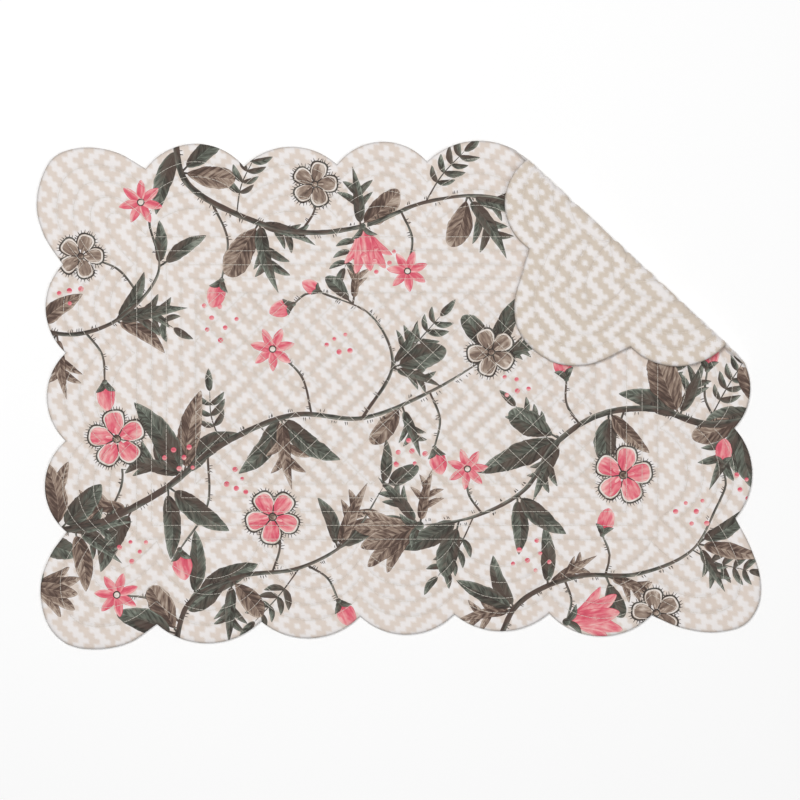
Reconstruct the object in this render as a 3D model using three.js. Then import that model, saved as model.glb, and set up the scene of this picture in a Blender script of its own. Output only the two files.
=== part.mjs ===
// A quilted placemat with a scalloped edge, lying flat with one corner folded over onto its front.
// Two cloths make it: the printed face and the back, sewn together by the quilting and turned at
// the edge, so there is no binding. Both are laid out flat first, and the corner is then folded.
import * as THREE from "three";

// Thicknesses, in millimetres, counted up from the table
const BACK_THICK = 1.3;
const CLOTH_GAP = 0.3;
const FACE_EDGE = 0.8;
const FACE_AT_SEAM = 1.0;
const FACE_AT_CREST = 1.7;
const BACK_PUFF = 0.5;
const FACE_BOTTOM = BACK_THICK + CLOTH_GAP;
const TOTAL_THICK = FACE_BOTTOM + FACE_AT_CREST;

// The fold: which way its line runs, how far out it lies, and how the turned corner settles
const FOLD_ANGLE = THREE.MathUtils.degToRad(-42.9);
const FOLD_REACH = 173.1;
const FOLD_INNER_RADIUS = 1.2;
const FOLD_STEPS = 6;
const FLAP_DROP = 1.9;
const FLAP_DROP_RUN = 62;
const FLAP_STEPS = 2;
const PUFF_RUN = 10;
const TOUCHES_CUT = 0.02;

// The scalloped outline, clockwise from above. Each row is one lobe: the valley it starts at, and
// the places it passes through on the way to the next row's valley. One place makes a round arc.
const LOBES = [
  {
    side: "left",
    corner: true,
    valley: [-224.1, 86.5],
    through: [[-236.5, 105.5], [-241.6, 125], [-238, 145], [-229.5, 158.5], [-211.5, 164.4], [-189, 161.5]],
  },
  { side: "top", valley: [-168.7, 150.3], through: [[-136.6, 167]] },
  { side: "top", valley: [-103.2, 151.6], through: [[-71, 165]] },
  { side: "top", valley: [-41.1, 153], through: [[-12.4, 168.3]] },
  { side: "top", valley: [19, 155], through: [[53, 169]] },
  { side: "top", valley: [86.2, 157], through: [[115.5, 173.8]] },
  {
    side: "top",
    corner: true,
    valley: [145.4, 159.8],
    through: [[160, 165.2], [178, 171.6], [197, 171.6], [211, 163.5], [223, 147], [225.3, 125]],
  },
  { side: "right", valley: [215.7, 97.1], through: [[230.8, 68.7]] },
  { side: "right", valley: [219.6, 34.4], through: [[234.8, 3.5]] },
  { side: "right", valley: [224.1, -22.7], through: [[236.1, -54.5]] },
  {
    side: "right",
    corner: true,
    valley: [224.8, -82.8],
    through: [[235, -102.5], [241.4, -123], [240.5, -140], [231.5, -153.5], [211.5, -159], [189, -156]],
  },
  { side: "bottom", valley: [168.7, -147.6], through: [[136.9, -161.7]] },
  { side: "bottom", valley: [100.5, -146.3], through: [[69.8, -158.3]] },
  { side: "bottom", valley: [37.1, -147], through: [[4.5, -160.6]] },
  { side: "bottom", valley: [-25.7, -148.3], through: [[-60.5, -163]] },
  { side: "bottom", valley: [-91.9, -151.6], through: [[-127, -166.3]] },
  {
    side: "bottom",
    corner: true,
    valley: [-161.3, -153.6],
    through: [[-180, -166], [-202.7, -170.3], [-222, -166.5], [-234.5, -153], [-238.9, -128], [-232, -107]],
  },
  { side: "left", valley: [-221.4, -92.2], through: [[-236.1, -61]] },
  { side: "left", valley: [-222.1, -31.4], through: [[-234.8, -2.5]] },
  { side: "left", valley: [-222.1, 27.4], through: [[-235.5, 54.5]] },
];
// Places round a rectangle are counted clockwise, one for each side, from its top left corner
const SIDES = ["top", "right", "bottom", "left"];
const ONCE_ROUND = SIDES.length;
const INWARD = {
  left: new THREE.Vector2(1, 0),
  top: new THREE.Vector2(0, -1),
  right: new THREE.Vector2(-1, 0),
  bottom: new THREE.Vector2(0, 1),
};
const LOBE_STEPS = 8;
const CORNER_STEPS = 14;

// Echo quilting: seams that repeat the outline inside it, out to the innermost one
const ECHO_SEAMS = [12, 22, 32.5, 43];
const INNERMOST_CREST = ECHO_SEAMS[ECHO_SEAMS.length - 1];
const TIP_SHORT_OF_FRAME = 1.2;
const CORNER_PULL = { back: 31, aside: 27 };

// Frame quilting: five rectangles of seams, from the outermost to the one round the middle field
const FRAME_OUTER = { left: -174.7, right: 173, top: 104.9, bottom: -96.9 };
const FRAME_INNER = { left: -135.3, right: 131.3, top: 67.5, bottom: -60.1 };
const FRAME_SEAMS = 5;
const FULL_PUFF_WIDTH = 9;

// The middle field is crossed by slanting seams that make diamonds, so many across and down
const DIAMONDS = { across: 16, down: 8 };
const DIAMOND_CROWN = 0.5;
const HALF_DIAMOND_PUFF = 0.6;

// Lobes whose rings are also raised on the back, because the folded corner shows them
const RAISED_ON_BACK = [5, 6, 7];

const COLOURS = { face_panel: 0xdccfc4, back_panel: 0xd8cabb };

const vec = (place) => new THREE.Vector2(place[0], place[1]);
const smooth = (t) => THREE.MathUtils.smoothstep(t, 0, 1);

// Places along the round arc from one point through another to a third.
function arcPlaces(from, through, to, steps) {
  const a = through.clone().sub(from);
  const b = to.clone().sub(from);
  const twice = 2 * a.cross(b);
  const centre = new THREE.Vector2(
    (b.y * a.lengthSq() - a.y * b.lengthSq()) / twice,
    (a.x * b.lengthSq() - b.x * a.lengthSq()) / twice,
  ).add(from);
  const start = from.clone().sub(centre);
  let sweep = to.clone().sub(centre).angle() - start.angle();
  if (sweep > 0) sweep -= 2 * Math.PI;
  return Array.from({ length: steps + 1 }, (_, i) =>
    start.clone().rotateAround(new THREE.Vector2(), (sweep * i) / steps).add(centre),
  );
}

// Places at even steps along a smooth curve through a corner lobe's points.
function cornerPlaces(points, steps) {
  const curve = new THREE.CatmullRomCurve3(
    points.map((p) => new THREE.Vector3(p.x, p.y, 0)),
    false,
    "centripetal",
  );
  return curve.getSpacedPoints(steps).map((p) => new THREE.Vector2(p.x, p.y));
}

// The innermost echo seam round a corner: a tongue from valley tip to valley tip.
function tonguePlaces(from, to, inwardFrom, inwardTo, steps) {
  const pull = (tip, back, aside) =>
    tip.clone().addScaledVector(back, -CORNER_PULL.back).addScaledVector(aside, -CORNER_PULL.aside);
  const curve = new THREE.CubicBezierCurve(
    from,
    pull(from, inwardFrom, inwardTo),
    pull(to, inwardTo, inwardFrom),
    to,
  );
  return Array.from({ length: steps + 1 }, (_, i) => curve.getPoint(i / steps));
}

// A rectangle between the outermost frame seam (share 0) and the innermost (share 1).
function frame(share) {
  const side = (name) => THREE.MathUtils.lerp(FRAME_OUTER[name], FRAME_INNER[name], share);
  return { left: side("left"), right: side("right"), top: side("top"), bottom: side("bottom") };
}

// The place on a rectangle at a position from 0 to 4: 0 is its top left corner, 1 its top right.
function onFrame(rect, position) {
  const side = Math.floor(position) % ONCE_ROUND;
  const part = position - Math.floor(position);
  const across = THREE.MathUtils.lerp(rect.left, rect.right, side === 0 ? part : 1 - part);
  const down = THREE.MathUtils.lerp(rect.top, rect.bottom, side === 1 ? part : 1 - part);
  if (side === 0) return new THREE.Vector2(across, rect.top);
  if (side === 1) return new THREE.Vector2(rect.right, down);
  if (side === 2) return new THREE.Vector2(across, rect.bottom);
  return new THREE.Vector2(rect.left, down);
}

// The tip of the innermost echo seam inside a valley, just short of the outermost frame seam.
function tipInside(lobe) {
  const [x, y] = lobe.valley;
  const seam = FRAME_OUTER[lobe.side];
  const outward = INWARD[lobe.side].clone().negate();
  const tip = lobe.side === "left" || lobe.side === "right" ? vec([seam, y]) : vec([x, seam]);
  return tip.addScaledVector(outward, TIP_SHORT_OF_FRAME);
}

// How far round the outermost frame seam, from 0 to 4, a place beside the given side stands.
function framePosition(side, place) {
  const { left, right, top, bottom } = FRAME_OUTER;
  const index = SIDES.indexOf(side);
  const part = [
    (place.x - left) / (right - left),
    (top - place.y) / (top - bottom),
    (right - place.x) / (right - left),
    (place.y - bottom) / (top - bottom),
  ][index];
  return index + part;
}

// Every lobe as three matching runs of places: the outline, the innermost echo seam, and the
// position of each place round the outermost frame seam. A run leaves out the lobe's last place.
function lobeRuns() {
  return LOBES.map((lobe, index) => {
    const next = LOBES[(index + 1) % LOBES.length];
    const steps = lobe.corner ? CORNER_STEPS : LOBE_STEPS;
    const from = vec(lobe.valley);
    const to = vec(next.valley);
    const through = lobe.through.map(vec);
    const tipFrom = tipInside(lobe);
    const tipTo = tipInside(next);
    let outline;
    let inner;
    let positions;
    if (lobe.corner) {
      const turn = SIDES.indexOf(lobe.side) + 1;
      const start = framePosition(lobe.side, from);
      const end = framePosition(next.side, to) + (next.side === "top" ? ONCE_ROUND : 0);
      outline = cornerPlaces([from, ...through, to], steps);
      inner = tonguePlaces(tipFrom, tipTo, INWARD[lobe.side], INWARD[next.side], steps);
      positions = outline.map((_, i) => {
        const half = (2 * i) / steps;
        return half <= 1
          ? THREE.MathUtils.lerp(start, turn, half)
          : THREE.MathUtils.lerp(turn, end, half - 1);
      });
    } else {
      const crest = through[0].clone().addScaledVector(INWARD[lobe.side], INNERMOST_CREST);
      outline = arcPlaces(from, through[0], to, steps);
      inner = arcPlaces(tipFrom, crest, tipTo, steps);
      positions = inner.map((place) => framePosition(lobe.side, place));
    }
    return {
      outline: outline.slice(0, -1),
      inner: inner.slice(0, -1),
      positions: positions.slice(0, -1),
    };
  });
}

// A cloth in the making: its places, and the flat faces between them, all facing out.
class Cloth {
  constructor() {
    this.places = [];
    this.faces = [];
  }

  add(place, height) {
    this.places.push(new THREE.Vector3(place.x, place.y, height));
    return this.places.length - 1;
  }

  // Rows run clockwise seen from above, so up says which way the surface faces.
  triangle(a, b, c, up) {
    this.faces.push(up ? [a, c, b] : [a, b, c]);
  }

  band(outer, inner, up, closed = true) {
    const last = closed ? outer.length : outer.length - 1;
    for (let i = 0; i < last; i += 1) {
      const j = (i + 1) % outer.length;
      this.triangle(outer[i], outer[j], inner[j], up);
      this.triangle(outer[i], inner[j], inner[i], up);
    }
  }

  // Joins two rows of different lengths, each given with its positions round the frame from 0 to 4.
  zip(outer, outerAt, inner, innerAt, up) {
    let i = 0;
    let j = 0;
    const at = (list, k) => (k < list.length ? list[k] : ONCE_ROUND);
    while (i < outer.length || j < inner.length) {
      const here = outer[i % outer.length];
      const below = inner[j % inner.length];
      const innerDone = j >= inner.length;
      const outerNearer = i < outer.length && at(outerAt, i + 1) <= at(innerAt, j + 1);
      if (innerDone || outerNearer) {
        this.triangle(here, outer[(i + 1) % outer.length], below, up);
        i += 1;
      } else {
        this.triangle(here, inner[(j + 1) % inner.length], below, up);
        j += 1;
      }
    }
  }

  // Joins two columns of like length, the second clockwise of the first.
  ladder(first, second, up) {
    for (let k = 0; k + 1 < first.length; k += 1) {
      this.triangle(first[k], second[k], second[k + 1], up);
      this.triangle(first[k], second[k + 1], first[k + 1], up);
    }
  }

  // Joins a column to one place, which lies clockwise of it or before it.
  wedge(column, place, clockwise, up) {
    for (let k = 0; k + 1 < column.length; k += 1) {
      this.triangle(column[k], place, column[k + 1], clockwise ? up : !up);
    }
  }

  fan(centre, row, up) {
    row.forEach((from, i) => this.triangle(from, row[(i + 1) % row.length], centre, up));
  }
}

const RUNS = lobeRuns();
const OUTLINE = RUNS.flatMap((run) => run.outline);
const INNERMOST = RUNS.flatMap((run) => run.inner);
const POSITIONS = RUNS.flatMap((run) => run.positions).map((at) => (at + ONCE_ROUND) % ONCE_ROUND);
const FIRST_CORNER = CORNER_STEPS / 2;

// Where each lobe starts in the outline, with the outline's length at the end.
const LOBE_STARTS = [0];
RUNS.forEach((run, lobe) => LOBE_STARTS.push(LOBE_STARTS[lobe] + run.outline.length));

const echoPlace = (i, share) => OUTLINE[i].clone().lerp(INNERMOST[i], share);
const echoShares = ECHO_SEAMS.map((inset) => inset / INNERMOST_CREST);

// A crest between two seams is lower where they lie close together.
function puff(from, to) {
  return Math.min(1, from.distanceTo(to) / FULL_PUFF_WIDTH);
}

// Rows from the outline to the outermost frame seam, as { place, crest } for one place of the outline:
// crest is 0 on a seam and up to 1 half way between two of them.
function rowsInward(i) {
  const seams = echoShares.map((share) => echoPlace(i, share));
  seams.push(onFrame(FRAME_OUTER, POSITIONS[i]));
  let before = OUTLINE[i];
  return seams.flatMap((seam) => {
    const halfWay = before.clone().lerp(seam, 0.5);
    const crest = puff(before, seam);
    before = seam;
    return [{ place: halfWay, crest }, { place: seam, crest: 0 }];
  });
}

// Positions round a frame seam that the diamonds of the middle field start from.
const LATTICE_AT = SIDES.flatMap((side, index) => {
  const count = index % 2 === 0 ? DIAMONDS.across : DIAMONDS.down;
  return Array.from({ length: count }, (_, i) => index + i / count);
});

// The diamonds of the middle field, laid inside the row of corners that the innermost frame seam has.
function addDiamonds(cloth, border, seamHeight, crestHeight) {
  const { across, down } = DIAMONDS;
  const rect = frame(1);
  const place = (column, row) =>
    new THREE.Vector2(
      THREE.MathUtils.lerp(rect.left, rect.right, column / across),
      THREE.MathUtils.lerp(rect.top, rect.bottom, row / down),
    );
  const crossings = new Map();
  const crossing = (column, row) => {
    const name = `${column} ${row}`;
    if (!crossings.has(name)) crossings.set(name, cloth.add(place(column, row), seamHeight));
    return crossings.get(name);
  };
  LATTICE_AT.forEach((position, i) => {
    const side = Math.floor(position);
    const step = Math.round((position - side) * (side % 2 === 0 ? across : down));
    const spot = [[step, 0], [across, step], [across - step, down], [0, down - step]][side];
    crossings.set(`${spot[0]} ${spot[1]}`, border[i]);
  });
  const addDiamond = (column, row) => {
    const spots = [[-0.5, 0], [0, -0.5], [0.5, 0], [0, 0.5]]
      .map(([x, y]) => [column + x, row + y])
      .filter(([x, y]) => x >= 0 && y >= 0 && x <= across && y <= down);
    const corners = spots.map(([x, y]) => crossing(x, y));
    if (corners.length < 4) {
      const middle = new THREE.Vector2();
      spots.forEach(([x, y]) => middle.addScaledVector(place(x, y), 1 / corners.length));
      const height = THREE.MathUtils.lerp(seamHeight, crestHeight, HALF_DIAMOND_PUFF);
      cloth.fan(cloth.add(middle, height), corners, true);
      return;
    }
    const crown = spots.map(([x, y]) =>
      cloth.add(place(column, row).lerp(place(x, y), DIAMOND_CROWN), crestHeight),
    );
    cloth.band(corners, crown, true);
    cloth.triangle(crown[0], crown[1], crown[2], true);
    cloth.triangle(crown[0], crown[2], crown[3], true);
  };
  for (let row = 0; row <= down; row += 1) {
    for (let column = 0; column < across; column += 1) addDiamond(column + 0.5, row);
  }
  for (let row = 0; row < down; row += 1) {
    for (let column = 0; column <= across; column += 1) addDiamond(column, row + 0.5);
  }
}

// The place on the outermost frame seam that a plain lobe's faces run to: its corner or its middle.
function seatOf(lobe) {
  const start = LOBE_STARTS[lobe];
  const position = LOBES[lobe].corner
    ? Math.round(POSITIONS[start])
    : POSITIONS[start + LOBE_STEPS / 2];
  return onFrame(FRAME_OUTER, position);
}

// A flat side, from a row along the outline to the middle. A lobe that is raised has all its rings,
// which stand out by the given puff as far as they lie past the fold; the others run to one seat.
function addPlainSide(cloth, edge, height, up, raised, puffOut) {
  const lobeAt = (index) => (index + LOBES.length) % LOBES.length;
  const isRaised = (index) => raised.includes(lobeAt(index));
  const seats = LOBES.map((_, index) => (isRaised(index) ? null : cloth.add(seatOf(index), height)));
  const columns = new Map();
  const columnAt = (i) => {
    if (!columns.has(i)) {
      const rings = rowsInward(i).map(({ place, crest }) =>
        cloth.add(place, height + puffOut * crest * pastFold(place)),
      );
      columns.set(i, [edge[i], ...rings]);
    }
    return columns.get(i);
  };
  const middleRow = [];
  const endColumn = (i) => middleRow.push(columnAt(i)[columnAt(i).length - 1]);
  LOBES.forEach((_, index) => {
    const start = LOBE_STARTS[index];
    const end = LOBE_STARTS[index + 1];
    const seat = seats[index];
    if (isRaised(index)) {
      for (let i = start; i < end; i += 1) {
        cloth.ladder(columnAt(i), columnAt(i + 1), up);
        endColumn(i);
      }
      return;
    }
    if (isRaised(index - 1)) {
      cloth.wedge(columnAt(start), seat, true, up);
      endColumn(start);
    }
    for (let i = start; i < end; i += 1) {
      cloth.triangle(edge[i], edge[(i + 1) % edge.length], seat, up);
    }
    middleRow.push(seat);
    if (isRaised(index + 1)) {
      cloth.wedge(columnAt(end), seat, false, up);
    } else {
      cloth.triangle(edge[end % edge.length], seats[lobeAt(index + 1)], seat, up);
    }
  });
  const { left, right, top, bottom } = FRAME_OUTER;
  const middle = new THREE.Vector2((left + right) / 2, (top + bottom) / 2);
  cloth.fan(cloth.add(middle, height), middleRow, up);
}

// The fold's own directions, and the radius and start of its bend
const ALONG = new THREE.Vector2(Math.cos(FOLD_ANGLE), Math.sin(FOLD_ANGLE));
const ACROSS = new THREE.Vector2(-ALONG.y, ALONG.x);
const BEND_AXIS = TOTAL_THICK + FOLD_INNER_RADIUS;
const BEND_START = FOLD_REACH - BEND_AXIS;
const NEUTRAL_RADIUS = BEND_AXIS - TOTAL_THICK / 2;
const BEND_LENGTH = Math.PI * NEUTRAL_RADIUS;

// How far past the bend's start a flat place lies, as a share from 0 to 1 that sets its puff.
function pastFold(place) {
  return smooth((ACROSS.dot(place) - BEND_START) / PUFF_RUN);
}

// Divides every face that the line at a distance out across the fold passes through.
function cutAt(cloth, distance) {
  const offset = cloth.places.map((p) => ACROSS.x * p.x + ACROSS.y * p.y - distance);
  const sign = offset.map((value) => (Math.abs(value) < TOUCHES_CUT ? 0 : Math.sign(value)));
  const made = new Map();
  const cut = (a, b) => {
    const name = a < b ? `${a} ${b}` : `${b} ${a}`;
    if (!made.has(name)) {
      const share = offset[a] / (offset[a] - offset[b]);
      cloth.places.push(cloth.places[a].clone().lerp(cloth.places[b], share));
      made.set(name, cloth.places.length - 1);
    }
    return made.get(name);
  };
  cloth.faces = cloth.faces.flatMap((face) => {
    if (!face.some((a) => sign[a] > 0) || !face.some((a) => sign[a] < 0)) return [face];
    const near = [];
    const far = [];
    face.forEach((a, k) => {
      const b = face[(k + 1) % face.length];
      if (sign[a] <= 0) near.push(a);
      if (sign[a] >= 0) far.push(a);
      if (sign[a] * sign[b] < 0) {
        const between = cut(a, b);
        near.push(between);
        far.push(between);
      }
    });
    return [near, far];
  });
}

// Bends a flat place round the fold: straight up to the bend, half a turn, then back over the front,
// where the corner settles down towards the cloth below it. Before the bend the cloth lies on the
// table, so nothing reaches below it there.
function folded(place) {
  const along = ALONG.x * place.x + ALONG.y * place.y;
  const past = ACROSS.x * place.x + ACROSS.y * place.y - BEND_START;
  if (past <= TOUCHES_CUT) return new THREE.Vector3(place.x, place.y, Math.max(place.z, 0));
  const radius = BEND_AXIS - place.z;
  const turn = Math.min(past / NEUTRAL_RADIUS, Math.PI);
  const back = Math.max(0, past - BEND_LENGTH);
  const out = BEND_START + radius * Math.sin(turn) - back;
  const up = BEND_AXIS - radius * Math.cos(turn) - FLAP_DROP * smooth(back / FLAP_DROP_RUN);
  return new THREE.Vector3(along * ALONG.x + out * ACROSS.x, along * ALONG.y + out * ACROSS.y, up);
}

function foldCorner(cloth) {
  for (let i = 0; i <= FOLD_STEPS; i += 1) cutAt(cloth, BEND_START + (BEND_LENGTH * i) / FOLD_STEPS);
  for (let i = 1; i <= FLAP_STEPS; i += 1) {
    cutAt(cloth, BEND_START + BEND_LENGTH + (FLAP_DROP_RUN * i) / FLAP_STEPS);
  }
  cloth.places = cloth.places.map(folded);
}

function meshOf(cloth, name) {
  const geometry = new THREE.BufferGeometry();
  geometry.setAttribute(
    "position",
    new THREE.Float32BufferAttribute(cloth.places.flatMap((p) => [p.x, p.y, p.z]), 3),
  );
  geometry.setIndex(cloth.faces.flatMap(([first, ...rest]) =>
    rest.slice(1).flatMap((corner, k) => [first, rest[k], corner]),
  ));
  geometry.computeVertexNormals();
  const material = new THREE.MeshStandardMaterial({ color: COLOURS[name], roughness: 0.95, metalness: 0 });
  const mesh = new THREE.Mesh(geometry, material);
  mesh.name = name;
  return mesh;
}

// The face: echo seams, frame seams and diamonds raised on top, plain underneath.
function facePanel() {
  const cloth = new Cloth();
  const seamHeight = FACE_BOTTOM + FACE_AT_SEAM;
  const crestHeight = FACE_BOTTOM + FACE_AT_CREST;
  const lowerEdge = OUTLINE.map((place) => cloth.add(place, FACE_BOTTOM));
  const upperEdge = OUTLINE.map((place) => cloth.add(place, FACE_BOTTOM + FACE_EDGE));
  cloth.band(lowerEdge, upperEdge, true);
  const columns = OUTLINE.map((_, i) => rowsInward(i));
  let outer = upperEdge;
  columns[0].forEach((_, row) => {
    const inner = columns.map((column) => {
      const { place, crest } = column[row];
      return cloth.add(place, THREE.MathUtils.lerp(seamHeight, crestHeight, crest));
    });
    cloth.band(outer, inner, true);
    outer = inner;
  });
  const rotate = (list) => [...list.slice(FIRST_CORNER), ...list.slice(0, FIRST_CORNER)];
  const frameRow = (share, height) =>
    LATTICE_AT.map((position) => cloth.add(onFrame(frame(share), position), height));
  const bands = FRAME_SEAMS - 1;
  let before = frameRow(0.5 / bands, crestHeight);
  cloth.zip(rotate(outer), rotate(POSITIONS), before, LATTICE_AT, true);
  for (let half = 2; half <= 2 * bands; half += 1) {
    const row = frameRow(half / (2 * bands), half % 2 === 0 ? seamHeight : crestHeight);
    cloth.band(before, row, true);
    before = row;
  }
  addDiamonds(cloth, before, seamHeight, crestHeight);
  addPlainSide(cloth, lowerEdge, FACE_BOTTOM, false, [], 0);
  return cloth;
}

// The back: plain where it lies or faces the other cloth, its echo seams raised on the folded corner.
function backPanel() {
  const cloth = new Cloth();
  const lowerEdge = OUTLINE.map((place) => cloth.add(place, 0));
  const upperEdge = OUTLINE.map((place) => cloth.add(place, BACK_THICK));
  cloth.band(lowerEdge, upperEdge, true);
  addPlainSide(cloth, upperEdge, BACK_THICK, true, [], 0);
  addPlainSide(cloth, lowerEdge, 0, false, RAISED_ON_BACK, -BACK_PUFF);
  return cloth;
}

const placemat = new THREE.Group();
for (const [name, make] of [["face_panel", facePanel], ["back_panel", backPanel]]) {
  const cloth = make();
  foldCorner(cloth);
  placemat.add(meshOf(cloth, name));
}

// The origin is under the middle of the folded mat, on the table.
const box = new THREE.Box3().setFromObject(placemat);
const centre = box.getCenter(new THREE.Vector3());
placemat.children.forEach((mesh) => mesh.position.set(-centre.x, -centre.y, -box.min.z));

export default placemat;
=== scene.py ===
"""A quilted placemat with a scalloped edge, one corner folded over, laid out as an add-on.

Sizes inside the functions are millimetres on the flat cloth, as the pattern is drafted; meshes,
UV maps and the scene are in metres.
"""
import math

import bmesh
import bpy
import numpy as np
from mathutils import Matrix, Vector


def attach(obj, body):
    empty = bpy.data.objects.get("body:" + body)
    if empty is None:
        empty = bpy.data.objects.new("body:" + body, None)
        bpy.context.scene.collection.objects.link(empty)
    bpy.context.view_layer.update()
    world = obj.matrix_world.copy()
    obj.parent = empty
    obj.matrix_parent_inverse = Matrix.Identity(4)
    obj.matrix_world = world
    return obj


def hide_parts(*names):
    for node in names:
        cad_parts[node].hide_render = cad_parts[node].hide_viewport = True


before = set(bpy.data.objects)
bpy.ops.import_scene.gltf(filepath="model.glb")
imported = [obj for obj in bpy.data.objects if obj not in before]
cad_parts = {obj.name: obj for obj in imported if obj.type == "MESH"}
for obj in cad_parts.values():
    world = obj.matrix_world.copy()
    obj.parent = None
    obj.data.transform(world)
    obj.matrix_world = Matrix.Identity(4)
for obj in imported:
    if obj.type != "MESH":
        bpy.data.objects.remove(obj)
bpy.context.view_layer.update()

bl_info = {
    "name": "Quilted placemat",
    "version": (1, 0, 0),
    "blender": (4, 5, 0),
    "location": "3D View > Sidebar > Placemat",
    "description": "A scalloped, quilted placemat with a printed face and a folded corner",
    "category": "Add Mesh",
}

METRE = 1000.0
TAU = 2 * math.pi

# The outline, clockwise from above. A row is one lobe: its side, the valley that it starts at and
# the places on the way to the next valley. One place makes a round arc, more make a corner.
LOBES = [
    ("left", (-224.1, 86.5), [(-236.5, 105.5), (-241.6, 125), (-238, 145), (-229.5, 158.5),
                              (-211.5, 164.4), (-189, 161.5)]),
    ("top", (-168.7, 150.3), [(-136.6, 167)]),
    ("top", (-103.2, 151.6), [(-71, 165)]),
    ("top", (-41.1, 153), [(-12.4, 168.3)]),
    ("top", (19, 155), [(53, 169)]),
    ("top", (86.2, 157), [(115.5, 173.8)]),
    ("top", (145.4, 159.8), [(160, 165.2), (178, 171.6), (197, 171.6), (211, 163.5),
                             (223, 147), (225.3, 125)]),
    ("right", (215.7, 97.1), [(230.8, 68.7)]),
    ("right", (219.6, 34.4), [(234.8, 3.5)]),
    ("right", (224.1, -22.7), [(236.1, -54.5)]),
    ("right", (224.8, -82.8), [(235, -102.5), (241.4, -123), (240.5, -140), (231.5, -153.5),
                               (211.5, -159), (189, -156)]),
    ("bottom", (168.7, -147.6), [(136.9, -161.7)]),
    ("bottom", (100.5, -146.3), [(69.8, -158.3)]),
    ("bottom", (37.1, -147), [(4.5, -160.6)]),
    ("bottom", (-25.7, -148.3), [(-60.5, -163)]),
    ("bottom", (-91.9, -151.6), [(-127, -166.3)]),
    ("bottom", (-161.3, -153.6), [(-180, -166), (-202.7, -170.3), (-222, -166.5),
                                  (-234.5, -153), (-238.9, -128), (-232, -107)]),
    ("left", (-221.4, -92.2), [(-236.1, -61)]),
    ("left", (-222.1, -31.4), [(-234.8, -2.5)]),
    ("left", (-222.1, 27.4), [(-235.5, 54.5)]),
]
SIDES = ("top", "right", "bottom", "left")
INWARD = {"left": (1, 0), "top": (0, -1), "right": (-1, 0), "bottom": (0, 1)}
CORNER_STEPS = 42
LONG_SIDE_STEPS = 30
SHORT_SIDE_STEPS = 18

# Quilting seams: four echo the outline, five frame the middle field, and diamonds fill it
ECHO_SEAMS = (12, 22, 32.5, 43)
TIP_SHORT_OF_FRAME = 1.2
PULL_BACK = 31
PULL_ASIDE = 27
FRAME_OUTER = {"left": -174.7, "right": 173, "top": 104.9, "bottom": -96.9}
FRAME_INNER = {"left": -135.3, "right": 131.3, "top": 67.5, "bottom": -60.1}
FRAME_SEAMS = 5
DIAMONDS = (16, 8)
FIELD_STEPS = (192, 96)
FULL_PUFF_WIDTH = 9
FIELD_RIM_RUN = 5
SLACK = 1e-9
INNERMOST_ECHO = len(ECHO_SEAMS)
FRAME_FIRST = INNERMOST_ECHO + 1
FRAME_LAST = INNERMOST_ECHO + FRAME_SEAMS

# Heights above the table, before the corner is folded
BACK_TOP = 1.3
FACE_UNDERSIDE = 1.6
BACK_RIM = 1.5
FACE_RIM = 1.72
RIM_ROUND = 1.5

# The fold
FOLD_ANGLE = math.radians(-42.9)
ALONG = np.array([math.cos(FOLD_ANGLE), math.sin(FOLD_ANGLE)])
ACROSS = np.array([-ALONG[1], ALONG[0]])
FOLD_REACH = 173.1
BEND_AXIS = 4.5
BEND_START = FOLD_REACH - BEND_AXIS
NEUTRAL_RADIUS = 2.85
BEND_LENGTH = math.pi * NEUTRAL_RADIUS
BEND_CUTS = 14
BEND_MARGIN = 12
FLAP_DROP = 1.9
FLAP_DROP_RUN = 62
PUFF_RUN = 10

# The flat pattern is moved by this much, so that the folded mat is centred on the frame's origin
SHIFT = np.array([-0.195, 0.63])

# Where rows lie inside one band, close together beside the seams
BAND_ROWS = (0.08, 0.25, 0.5, 0.75, 0.92, 1)
EDGE_ROWS = (0.012, 0.035, 0.07, 0.12, 0.25, 0.5, 0.75, 0.92, 1)
INNER_ROWS = (0.5, 1)

# The name of each cloth's UV map
UV_NAME = "cloth"

# A stitch: its four stations in parts of its half length, how high its eight corners lie in parts
# of the thread's radius, and the faces of its two pointed ends and its three sides
STITCH_STATIONS = np.array([-1, -0.75, 0.75, 1])
STITCH_RISE = np.array([-0.2, 0.5, 2.0, 0.5, 0.5, 2.0, 0.5, -0.2])
STITCH_ENDS = np.array([(0, 1, 2), (0, 2, 3), (0, 3, 1), (7, 5, 4), (7, 6, 5), (7, 4, 6)])
STITCH_SIDES = np.array([(1, 4, 5, 2), (2, 5, 6, 3), (3, 6, 4, 1)])

# The cloth's surface: the weave's pitch, how far the puckers and the painted shade reach from a
# seam and the painted shade's dark line from the rim, how much darker the cloth is painted there,
# and how it takes the light
WEAVE_PITCH = 0.9
SEAM_REACH = 2.4
RIM_REACH = 0.85
RIM_SHADE = 0.2
# Painted shade: how much darker the face and the reverse are painted beside their seams, where the
# quilting dips
FACE_SEAM_SHADE = 0.07
BACK_SEAM_SHADE = 0.05
BUMP_STRENGTH = 0.9
COTTON = {"Roughness": 0.93, "Specular IOR Level": 0.25, "Sheen Weight": 0.06,
          "Sheen Roughness": 0.6}
MATT = {"Roughness": 1.0, "Specular IOR Level": 0.0}
THREAD_WORN = 0.88

# The stepped ground: the cells in a repeat, the column where its steps turn, the (row, step) turns
# down it and the deepest of them, how far its ink spreads in cells, and how each cloth is printed
# with it: the cell's size, the place where a repeat starts, the tilt, and how fuzzy the print is
GROUND_REPEAT = 26
GROUND_TURN = 9
GROUND_TURNS = [(0, 0), (3, -3), (6, 0), (13, -7), (16, -4), (19, -7), (26, 0)]
GROUND_DEEPEST = 7
INK_SPREAD = 0.15
FACE_REPEAT = {"cell": 3.52, "start_x": -7.7, "start_y": -22.4, "tilt": 0.08, "fuzz": 0.26}
BACK_REPEAT = {"cell": 3.57, "start_x": 91.5, "start_y": 134.3, "tilt": 0.04, "fuzz": 0.58}

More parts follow.
